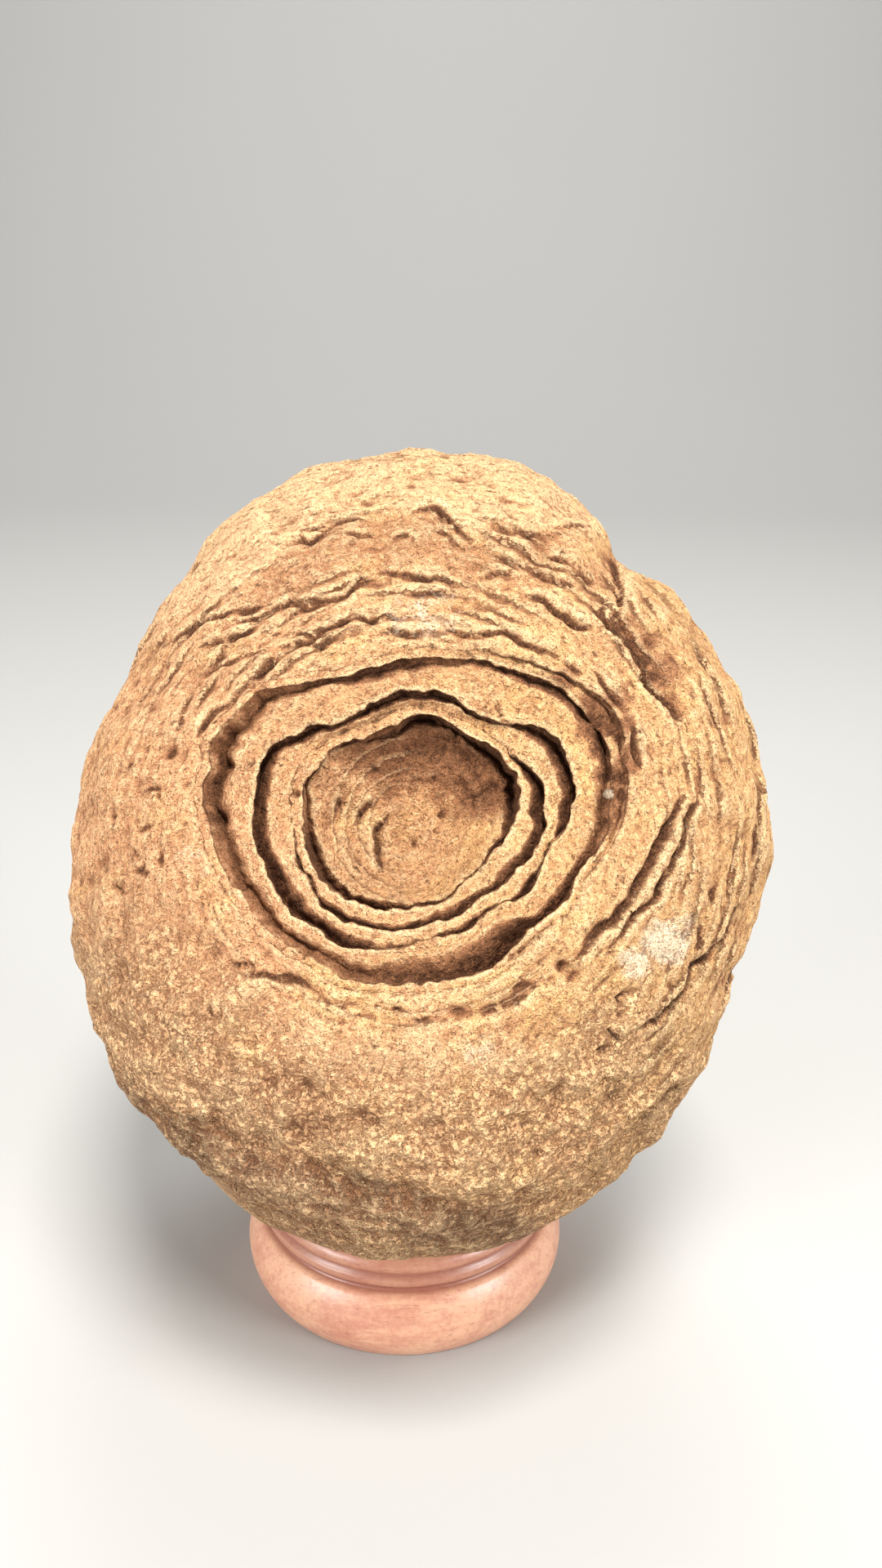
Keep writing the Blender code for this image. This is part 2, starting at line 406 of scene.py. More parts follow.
@dataclass(frozen=True)
class WoodFinish:
    """Reddish turned hardwood with short dark flecks and a satin sheen, and painted shade
    under the stone and in its grooves.
    """

    light: Colour = (0.655, 0.365, 0.23)
    deep: Colour = (0.50, 0.215, 0.14)
    groove: Colour = (0.21, 0.060, 0.036)
    roughness: float = 0.40
    oil: float = 0.18
    oil_roughness: float = 0.28
    grain_stretch: Place = (0.16, 1.0, 1.0)

    def material(self) -> bpy.types.Material:
        """Build the material.

        Returns:
            The material.
        """
        graph = Graph("turned_wood")
        place = graph.object_place()
        stretched = {"Vector": place, "Scale": self.grain_stretch}
        along = graph.node("ShaderNodeMapping", {}, stretched)
        streak = graph.grain(along, 1.7, 4.0, 0.6)
        cloud = graph.grain(place, 14.0, 3.0)
        fleck = graph.grain(along, 0.45, 2.0, 0.6)
        grit = graph.grain(place, 0.9, 3.0, 0.7)
        tone = (streak * 0.6 + cloud * 0.6 + (grit - 0.5) * 0.5).step(0.40, 0.78)
        colour = graph.paint(
            graph.mix(tone, self.deep, self.light),
            (fleck.step(0.42, 0.30) * 0.38, self.groove),
            # Painted shade on the neck, lip and hole, under the stone and in the grooves.
            (graph.attribute("hollow"), self.groove),
        )
        graph.plug(graph.shader["Base Color"], colour)
        graph.plug(graph.shader["Roughness"], self.roughness + (streak - 0.5) * 0.25)
        graph.plug(graph.shader["Coat Weight"], self.oil)
        graph.plug(graph.shader["Coat Roughness"], self.oil_roughness)
        graph.plug(graph.shader["Normal"], graph.bump((streak, 0.10)))
        return graph.material


@dataclass(frozen=True)
class PaperFinish:
    """The studio's plain pale floor, very faintly clouded."""

    colour: Colour = (0.42, 0.415, 0.40)
    clouded: float = 0.97
    cloud_size: float = 400.0
    roughness: float = 0.9

    def material(self) -> bpy.types.Material:
        """Build the material.

        Returns:
            The material.
        """
        graph = Graph("pale_paper")
        share = graph.grain(graph.object_place(), self.cloud_size)
        darker = tuple(part * self.clouded for part in self.colour)
        graph.plug(graph.shader["Base Color"], graph.mix(share, self.colour, darker))
        graph.plug(graph.shader["Roughness"], self.roughness)
        return graph.material


# --- Shared maths --------------------------------------------------------------------------


def smooth_step(low: float, high: float, value: Array | float) -> Array:
    """Return 0 at or below low, 1 at or above high, and smooth between."""
    share = np.clip((np.asarray(value, float) - low) / (high - low), 0.0, 1.0)
    return share * share * (3.0 - 2.0 * share)


def fade(places: Array, low: float, high: float) -> Array:
    """Return a smooth step over the contours' places, as a column for their points."""
    return smooth_step(low, high, places)[:, None]


def bell(degrees: Array, middle: float, half: float) -> Array:
    """Return 1 round a clock angle, falling to 0 a half width away, in degrees."""
    away = np.abs((degrees - middle + 180.0) % 360.0 - 180.0)
    return 1.0 - smooth_step(0.6 * half, half, away)


def unit(vectors: Array) -> Array:
    """Return vectors of length 1."""
    return vectors / np.maximum(np.linalg.norm(vectors, axis=-1, keepdims=True), 1e-9)


def on_chart(clock: Array, reach: Array) -> tuple[Array, Array]:
    """Return the chart's right and up places of clock angles in radians and reaches."""
    return reach * np.cos(clock), reach * np.sin(clock)


def around(values: Sequence[float], clock: Array) -> Array:
    """Read a periodic Catmull-Rom curve through evenly spaced values.

    Args:
        values: the curve's values at equal steps of a full turn, from angle 0.
        clock: angles in radians.

    Returns:
        The curve at each angle.
    """
    stations = np.asarray(values, float)
    count = len(stations)
    place = (clock / math.tau % 1.0) * count
    first = np.floor(place).astype(int)
    t = place - first
    before, here, after, beyond = (stations[(first + step) % count] for step in (-1, 0, 1, 2))
    slope_here = (after - before) / 2.0
    slope_after = (beyond - here) / 2.0
    rise = after - here
    return (
        here
        + slope_here * t
        + (3.0 * rise - 2.0 * slope_here - slope_after) * t**2
        + (slope_here + slope_after - 2.0 * rise) * t**3
    )


def noise_at(points: Array, wavelength: float, seed: float = 0.0) -> Array:
    """Return seeded gradient noise, about -1 to 1, at points given in millimetres.

    Args:
        points: places in millimetres.
        wavelength: size of its features.
        seed: shift that sets it apart from other noises.

    Returns:
        The noise at each point.
    """
    places = (points.reshape(-1, 3) / wavelength + seed).tolist()
    values = np.fromiter((noise.noise(place) for place in places), float, len(places))
    return values.reshape(points.shape[:-1])


def rough(points: Array, *octaves: Octave) -> Array:
    """Return a sum of noises, each given as its height, wavelength and seed."""
    return sum(height * noise_at(points, length, seed) for height, length, seed in octaves)


def grid_normals(points: Array) -> Array:
    """Return unit normals of a grid of contours, pointing out of the stone.

    Args:
        points: contours by meridians by three.

    Returns:
        A direction for every point.
    """
    onwards = np.gradient(points, axis=0)
    sideways = np.roll(points, -1, axis=1) - np.roll(points, 1, axis=1)
    return unit(np.cross(onwards, sideways))


def height_above(points: Array, normals: Array, reach: int) -> Array:
    """Return how far each point stands above its neighbourhood, in millimetres.

    Args:
        points: contours by meridians by three.
        normals: their directions.
        reach: half the neighbourhood's width, in points.

    Returns:
        The height of every point.
    """
    window = 2 * reach + 1
    total = sum(np.roll(points, step, axis=1) for step in range(-reach, reach + 1)) / window
    padded = np.concatenate((total[:1].repeat(reach, 0), total, total[-1:].repeat(reach, 0)))
    mean = sum(padded[step : step + len(points)] for step in range(window)) / window
    return np.einsum("ijk,ijk->ij", points - mean, normals)


# --- The stone's edges, worn lines and patches ---------------------------------------------


@dataclass(frozen=True)
class Shell:
    """One shell's inner edge, as evenly spaced values anticlockwise round the bowl.

    Attributes:
        reaches: distance of the edge from the bowl's middle, on the chart.
        bands: width of the hollow that lies under the edge, on the bowl's side.
        crisp: 1 where this edge overhangs its hollow, 0 where it is worn to a slope.
        levels: place of the edge along the bowl's axis, 0 at the rim.
        deepness: the hollow's depth where it is 1 mm wide.
        steps: contours on the shell's face, and on the slope into the hollow.
    """

    reaches: tuple[float, ...]
    bands: tuple[float, ...]
    crisp: tuple[float, ...]
    levels: tuple[float, ...]
    deepness: float
    steps: tuple[int, int]


# fmt: off
CUP_EDGE = Shell(
    reaches=(
        15.1, 15.7, 16.1, 16.3, 16.7, 17, 16.3, 16.5, 16.3, 15.9, 15.5, 15.2, 15.1, 15.1, 15.5,
        15.7, 15.9, 15.9, 15.7, 15.1, 14.5, 14.2, 14.1, 14.1, 14.2, 14.8, 15.3, 15.9, 16.2, 16.2,
        16.2, 16.6, 16.9, 16.7, 16.4, 16.2, 16.2, 16.2, 16.3, 16.2, 16.2, 16.1, 15.9, 15.8, 15.6,
        15.4, 15.1, 14.7, 14.3, 14.1, 13.9, 13.7, 13.3, 13, 12.8, 12.7, 12.7, 12.8, 12.8, 12.5,
        12.3, 12.1, 11.8, 11.7, 12.1, 12.4, 12.4, 12.3, 13, 13.7, 14.2, 14.7,
    ),
    bands=(
        1.5, 2.1, 2.2, 1.9, 1.5, 1.5, 1.6, 1.2, 0.7, 0.7, 1.2, 1.5, 1.6, 1.5, 1.2, 0.8, 0.8, 0.5,
        0.4, 0.2, 0.4, 0.4, 1, 1.2, 1.3, 1.6, 1.9, 1.7, 1.7, 1.6, 1.3, 1.3, 1.3, 1.5, 1.5, 1, 0.8,
        0.7, 0.6, 0.6, 0.5, 0.4, 0.4, 0.5, 0.5, 0.5, 1.2, 1.1,
    ),
    crisp=(
        0.7, 0.8, 0.9, 1, 1, 1, 0.8, 0.3, 0.3, 0.7, 0.6, 0.3, 0.3, 0.7, 0.7, 0.8, 0.9, 0.9, 0.9, 1,
        0.7, 0.5, 0.8, 1,
    ),
    levels=(-4.5,),
    deepness=1,
    steps=(0, 5),
)
SECOND_EDGE = Shell(
    reaches=(
        19.9, 19.3, 20, 20.3, 19.7, 19, 18.2, 17.6, 17.5, 17.3, 17.2, 17, 16.9, 16.7, 16.7, 16.8,
        16.9, 17, 17.1, 16.8, 16.6, 16.3, 16, 16, 16.3, 16.6, 17, 17.3, 17.7, 18.1, 18.4, 18.8,
        18.8, 18.6, 18.4, 18.2, 18, 17.9, 17.8, 18, 18.2, 18, 17.8, 18.1, 18.3, 18.4, 18.2, 18.1,
        17.5, 17.1, 16.9, 16.7, 16.6, 16.2, 15.9, 15.7, 15.4, 15.3, 15.6, 15.6, 15.4, 15.1, 15.1,
        15.5, 16, 16.3, 16.5, 17, 17.7, 18.6, 18.9, 19.5,
    ),
    bands=(
        1.9, 2.2, 2.3, 1.8, 0.9, 0, 0, 0, 0, 0, 0, 0, 0, 0, 0, 0, 0, 0, 0, 0, 0, 0, 0, 0, 0, 0.2,
        0.5, 0.6, 0.8, 0.7, 1.3, 1.3, 1.1, 1, 1, 1, 1.1, 1, 1.3, 1.7, 1.6, 1, 1.1, 1.1, 1.6, 1.8,
        2, 1.8,
    ),
    crisp=(
        1, 1, 1, 0, 0, 0, 0, 0, 0, 0, 0, 0, 0, 0.6, 0.7, 0.9, 0.9, 0.9, 1, 0.9, 0.9, 0.8, 0.9, 1,
    ),
    levels=(
        -3.5, -3.5, -4, -4.2, -4.2, -4.2, -4.2, -4.2, -4.2, -4, -3.8, -3.5, -3.5, -3.5, -3.5, -3.5,
    ),
    deepness=1.1,
    steps=(2, 5),
)
THIRD_EDGE = Shell(
    reaches=(
        23.3, 23.4, 24.6, 24.7, 24.8, 24.8, 24.6, 23.6, 22.3, 20.5, 19.6, 18.9, 18.5, 18.5, 19.3,
        19.6, 19.6, 19.4, 19.3, 19.4, 19.1, 18.6, 18.5, 18.2, 18.1, 18.1, 18.5, 20.2, 21, 21.7,
        23.1, 23.8, 23.9, 23.8, 23.8, 23.8, 23.9, 23.7, 23.4, 23, 22.8, 22.7, 22.8, 22.5, 22.3,
        21.6, 21.2, 21.3, 21.2, 20.9, 20.1, 19.7, 19.4, 18.9, 18.3, 17.9, 17.6, 17.6, 17.8, 18,
        17.9, 17.6, 17.5, 17.7, 18.5, 19.9, 20.3, 20.2, 20.4, 20.5, 20.9, 22,
    ),
    bands=(
        1.7, 2.2, 2.4, 2.4, 2.4, 1.9, 0.8, 0.5, 0.6, 0.7, 1.2, 1.5, 1.5, 1.6, 1.5, 1.5, 1.1, 0.8,
        1.3, 1.5, 1.5, 1.8, 1.9, 1.9, 2.2, 2.2, 2.3, 2.5, 2.9, 2.9, 1.9, 1.8, 2.2, 1.9, 0.7, 0.5,
        0.4, 0.2, 0.7, 1, 1.1, 0.8, 0.5, 0.6, 1.5, 0.7, 0.5, 0.4,
    ),
    crisp=(
        1, 1, 1, 1, 0.7, 1, 1, 1, 0.8, 1, 1, 1, 1, 1, 1, 0.9, 1, 0.7, 0.5, 0.7, 0.8, 0.4, 1, 0.6,
    ),
    levels=(-2, -2, -2, -2, -2, -2, -2, -2, -2, -2, -2, -2.2, -3, -3, -2.8, -2.2),
    deepness=1.1,
    steps=(2, 5),
)
RIM_EDGE = Shell(
    reaches=(
        29.2, 29.5, 30.1, 30.5, 30.8, 31.2, 30.8, 30.1, 29.8, 29, 28.2, 27.3, 26.5, 26.1, 25.6,
        24.9, 24.6, 24.4, 24.2, 23.9, 23.6, 23.6, 23.6, 23.7, 24.7, 25.6, 26.4, 28.1, 30, 30.4,
        30.9, 31.8, 32.1, 31.1, 31.5, 31.2, 30.4, 29.9, 29.4, 28.8, 28.3, 27.6, 27.4, 27.1, 26.6,
        26.1, 25.5, 25.1, 25.1, 25.5, 25.2, 24.8, 24.4, 24.3, 24.1, 24.1, 24.1, 24.1, 24.5, 24.8,
        24.7, 24.4, 23.9, 23.7, 24, 24.5, 25.3, 25.7, 25.7, 26.2, 27.4, 28.5,
    ),
    bands=(
        2.7, 2.9, 2.2, 2.1, 1.7, 1.3, 1.7, 1.3, 1.1, 1.5, 1.2, 1.5, 2.1, 2.2, 2.1, 1.5, 1.1, 1.7,
        2.7, 4.1, 4.6, 5.1, 4.1, 4.4, 3.6, 4.1, 3.6, 3.2, 3.2, 2.9, 2.7, 2.5, 2.8, 2.9, 2.7, 3.6,
        3.8, 3.8, 3.8, 4.6, 5.1, 4.5, 2.9, 1.3, 1.9, 1.8, 1.5, 2.4,
    ),
    crisp=(
        0.15, 0.4, 1, 1, 0.9, 0.4, 0.5, 0.8, 0.7, 0.25, 0.1, 0.3, 0.2, 0.1, 0.1, 0.1, 0.1, 0.3,
        0.5, 0.6, 1, 1, 1, 0.8,
    ),
    levels=(-1, -1.2, -1, -0.6, 0, 0, 0, 0, 0, 0, 0, 0, 0, 0, 0, -0.4),
    deepness=1,
    steps=(6, 8),
)
CRUST_EDGE = Shell(
    reaches=(
        31.3, 32, 32.5, 33, 33.6, 34.2, 34.1, 33.1, 32, 31, 30, 29, 28.2, 27.4, 26.6, 26.1, 25.9,
        25.8, 25.6, 25.3, 24.9, 25, 24.9, 25, 26, 26.9, 27.7, 29.5, 31.3, 31.8, 32.2, 33.1, 33.4,
        32.4, 32.8, 32.5, 31.7, 31.2, 30.7, 30.2, 29.7, 29, 28.7, 28.4, 27.9, 27.4, 26.8, 26.5,
        26.4, 26.8, 26.6, 26.1, 25.8, 25.6, 25.4, 25.4, 25.4, 25.4, 25.8, 26.1, 26.1, 25.8, 25.2,
        25.1, 25.3, 25.8, 26.7, 27, 27.1, 27.7, 29.1, 30.3,
    ),
    bands=(
        1.5, 1.2, 1.1, 1.5, 2.2, 1.5, 0.7, 0.6, 0.6, 0.4, 0, 0, 0, 0, 0, 0, 0, 0, 0, 0, 0, 0, 0, 0,
        0, 0, 0, 0, 0, 0, 0, 0, 0, 0, 0, 0, 0, 0, 0, 0, 0, 0, 0, 0, 0, 0, 0.5, 1,
    ),
    crisp=(0.2, 0.4, 0.4, 0.5, 0.3, 0, 0, 0, 0, 0, 0, 0, 0, 0, 0, 0, 0, 0, 0, 0, 0, 0, 0, 0),
    levels=(0.3,),
    deepness=0.6,
    steps=(1, 4),
)
# The lower edge of the smooth crown: clock angle and reach.
CROWN_EDGE = (
    (0, 60), (50, 54), (57, 50.6), (62.2, 49.4), (65.5, 47), (68.3, 46), (72.2, 45.5),
    (74.9, 46.2), (76.9, 42.6), (81.6, 44.6), (85.9, 47), (89.6, 45.9), (94.3, 44.8), (98.9, 45.9),
    (104.2, 46.7), (110, 44.9), (115, 44.9), (120, 42.9), (130, 43), (142, 46), (152, 52),
    (360, 60),
)
# Where the belly turns dusky with painted shade: clock angle and reach.
DUSK_SHORE = (
    (0, 99), (199, 99), (208, 63), (216, 59.5), (225, 57.2), (234, 55), (242, 53), (250, 52),
    (258, 53), (270, 54), (277, 56.5), (284, 59.5), (292, 65), (313, 75), (320, 99),
)
# fmt: on


class Mark(Enum):
    """The ways a line on the crust is worn."""

    LEDGE = "a lamina's lip that overhangs a thin hollow on the bowl's side"
    DROP = "a lip on the bowl's side above a broad recess beyond it"
    CRACK = "a narrow split with even sides"
    SCOOP = "a soft broad hollow"


@dataclass(frozen=True)
class Stroke:
    """A worn line on the crust.

    Attributes:
        mark: how the line is worn.
        width: half the width of its hollow.
        depth: how deep the hollow goes.
        path: (clock angle in degrees, reach) pairs on the chart.
        step: distance between the points of its jagged line.
        margin: how far from the line its wear reaches at most.
        taper: length over which an end of the line runs out.
        lip_shadow: how far beyond a dropped lip the first ground comes into sight.
        jags: the noises that make the line jagged.
    """

    mark: Mark
    width: float
    depth: float
    path: tuple[tuple[float, float], ...]
    step: float = 0.7
    margin: float = 6.0
    taper: float = 4.5
    lip_shadow: float = 1.1
    jags: tuple[Octave, ...] = ((0.5, 2.6, 60.0), (0.3, 1.5, 70.0))

    def line(self) -> tuple[Array, Array]:
        """Return the path as a finely stepped jagged line on the chart, and its reach.

        Returns:
            Points on the chart, and their reaches.
        """
        clock = np.radians([place[0] for place in self.path])
        reach = np.array([place[1] for place in self.path], float)
        length = np.hypot(np.diff(reach), np.diff(clock) * (reach[:-1] + reach[1:]) / 2.0)
        travelled = np.concatenate(((0.0,), np.cumsum(length)))
        at = np.linspace(0.0, travelled[-1], max(3, int(travelled[-1] / self.step)))
        clock = np.interp(at, travelled, clock)
        reach = np.interp(at, travelled, reach)
        spots = np.column_stack((*on_chart(clock, reach), at * 0.0))
        reach = reach + rough(spots, *self.jags)
        return np.column_stack(on_chart(clock, reach)), reach

    def carve(self, flat: Array, reach: Array, lines: dict[str, Array]) -> Array:
        """Return the lift that the stroke gives to the chart's points.

        Args:
            flat: the points' places on the chart.
            reach: the points' reaches on the chart.
            lines: the numbers that draw the thin lines, brought up to date here.

        Returns:
            The lift in millimetres.
        """
        line, line_reach = self.line()
        low, high = line.min(axis=0) - self.margin, line.max(axis=0) + self.margin
        close = np.all((flat > low) & (flat < high), axis=-1)
        spots = flat[close]
        away, side, along, length = self._nearest(line, line_reach, spots, reach[close])
        taper = min(self.taper, length * 0.4)
        ends = smooth_step(0.0, taper, along) * smooth_step(0.0, taper, length - along)
        spots = np.column_stack((spots, np.zeros(len(spots))))
        uneven = noise_at(spots, 3.2, 50.0)
        broken = np.clip(0.9 + 0.9 * uneven + 0.6 * noise_at(spots, 1.4, 52.0), 0.1, 1.4)
        strength = self.depth * (0.15 + 0.85 * ends) * np.clip(0.85 + 0.5 * uneven, 0.3, 1.2)
        lift = np.zeros(reach.shape)
        lift[close] = self._profile(away, side) * strength
        self._shade(close, away, side, strength * broken, lines)
        return lift

    def _nearest(
        self, line: Array, line_reach: Array, spots: Array, reach: Array
    ) -> tuple[Array, Array, Array, float]:
        """Find the line's nearest place to each spot.

        Args:
            line: the jagged line on the chart.
            line_reach: its reaches.
            spots: places on the chart.
            reach: their reaches.

        Returns:
            The distance from the line, how far beyond it the spot reaches, how far along it
            the nearest place is, and the line's length.
        """
        away = np.full(len(spots), np.inf)
        side, along = np.zeros((2, len(spots)))
        steps = np.hypot(*np.diff(line, axis=0).T)
        passed = np.concatenate(((0.0,), np.cumsum(steps)))
        for index, run in enumerate(np.diff(line, axis=0)):
            share = np.clip((spots - line[index]) @ run / (run @ run), 0.0, 1.0)
            gap = spots - (line[index] + share[:, None] * run)
            distance = np.hypot(gap[:, 0], gap[:, 1])
            nearer = distance < away
            at = line_reach[index] + (line_reach[index + 1] - line_reach[index]) * share
            away = np.where(nearer, distance, away)
            side = np.where(nearer, reach - at, side)
            along = np.where(nearer, passed[index] + steps[index] * share, along)
        return away, side, along, passed[-1]

    def _profile(self, away: Array, side: Array) -> Array:
        """Return the height across the stroke, for a depth of 1.

        Args:
            away: distances from the line.
            side: how far beyond the line the points reach.

        Returns:
            The height at each point.
        """

        def ramp(width: float, power: float) -> Array:
            """Return 1 on the line, falling to 0 at a width."""
            return (1.0 - np.clip(away / width, 0.0, 1.0)) ** power

        across = np.sign(side) * away
        if self.mark is Mark.LEDGE:
            beyond = smooth_step(-0.3, 0.3, across)
            hollow = ramp(1.5 * self.width + 0.5, 1.3)
            return 0.45 * ramp(4.0, 1.3) * beyond - hollow * (1.0 - beyond)
        if self.mark is Mark.DROP:
            beyond = smooth_step(-0.18, 0.30, across)
            return 0.15 * ramp(3.0, 1.3) * (1.0 - beyond) - ramp(5.5, 0.8) * beyond
        if self.mark is Mark.CRACK:
            return -ramp(self.width + 0.3, 1.2)
        return -(1.0 - smooth_step(0.0, 1.8 * self.width, away))

    def _shade(
        self, close: Array, away: Array, side: Array, bold: Array, lines: dict[str, Array]
    ) -> None:
        """Paint shade into the stroke's hollow and draw its thin line of painted shadow.

        Args:
            close: which of the skin's points are near the stroke.
            away: their distance from its line.
            side: how far beyond the line they reach.
            bold: how strongly the line shows.
            lines: the numbers that are brought up to date.
        """
        ledge, drop = self.mark is Mark.LEDGE, self.mark is Mark.DROP
        width, most, inside = self.width, 1.0, away >= 0.0
        if ledge:
            width, most, inside = 0.3 + 1.2 * self.width, 0.25 + 0.6 * self.width, side < 0.0
        elif drop:
            width, inside = 4.2, side > 0.0
        elif self.mark is Mark.SCOOP:
            most = 0.3
        most = most if self.width < 1.3 else 0.12
        dark = np.clip(bold / 2.2, 0.0, most) * (1.0 - smooth_step(0.1, width, away)) * inside
        lines["recess"][close] = np.maximum(lines["recess"][close], dark)
        if self.mark is Mark.SCOOP:
            return
        shown = np.abs(away * np.sign(side) - self.lip_shadow) if drop else away
        facing = side if ledge else -np.abs(side)
        strength = np.clip(bold / 1.25, 0.0, 1.7) * (0.6 if self.mark is Mark.CRACK else 1.0)
        draw_line(lines, close, away, shown, facing, strength)


def draw_line(
    lines: dict[str, Array], close: Any, away: Array, shown: Array, side: Array, strength: Array
) -> None:
    """Bring the numbers that draw the thin lines up to date with one line.

    Args:
        lines: the numbers.
        close: which of the skin's points are near the line.
        away: their distance from it.
        shown: the distance that the finish reads.
        side: how far beyond the line they reach.
        strength: how strongly it shows.
    """
    nearer = away < lines["line_away"][close]
    side = np.clip(side / 0.4, -1.0, 1.0)
    for name, value in (("line_away", shown), ("line_side", side), ("line_strength", strength)):
        lines[name][close] = np.where(nearer, value, lines[name][close])


def worn(mark: Mark, width: float, depth: float, *path: float) -> Stroke:
    """Return a stroke whose path is given as clock angle and reach by turns."""
    return Stroke(mark, width, depth, tuple(zip(path[::2], path[1::2])))


ledge, drop, crack, scoop = (partial(worn, mark) for mark in Mark)

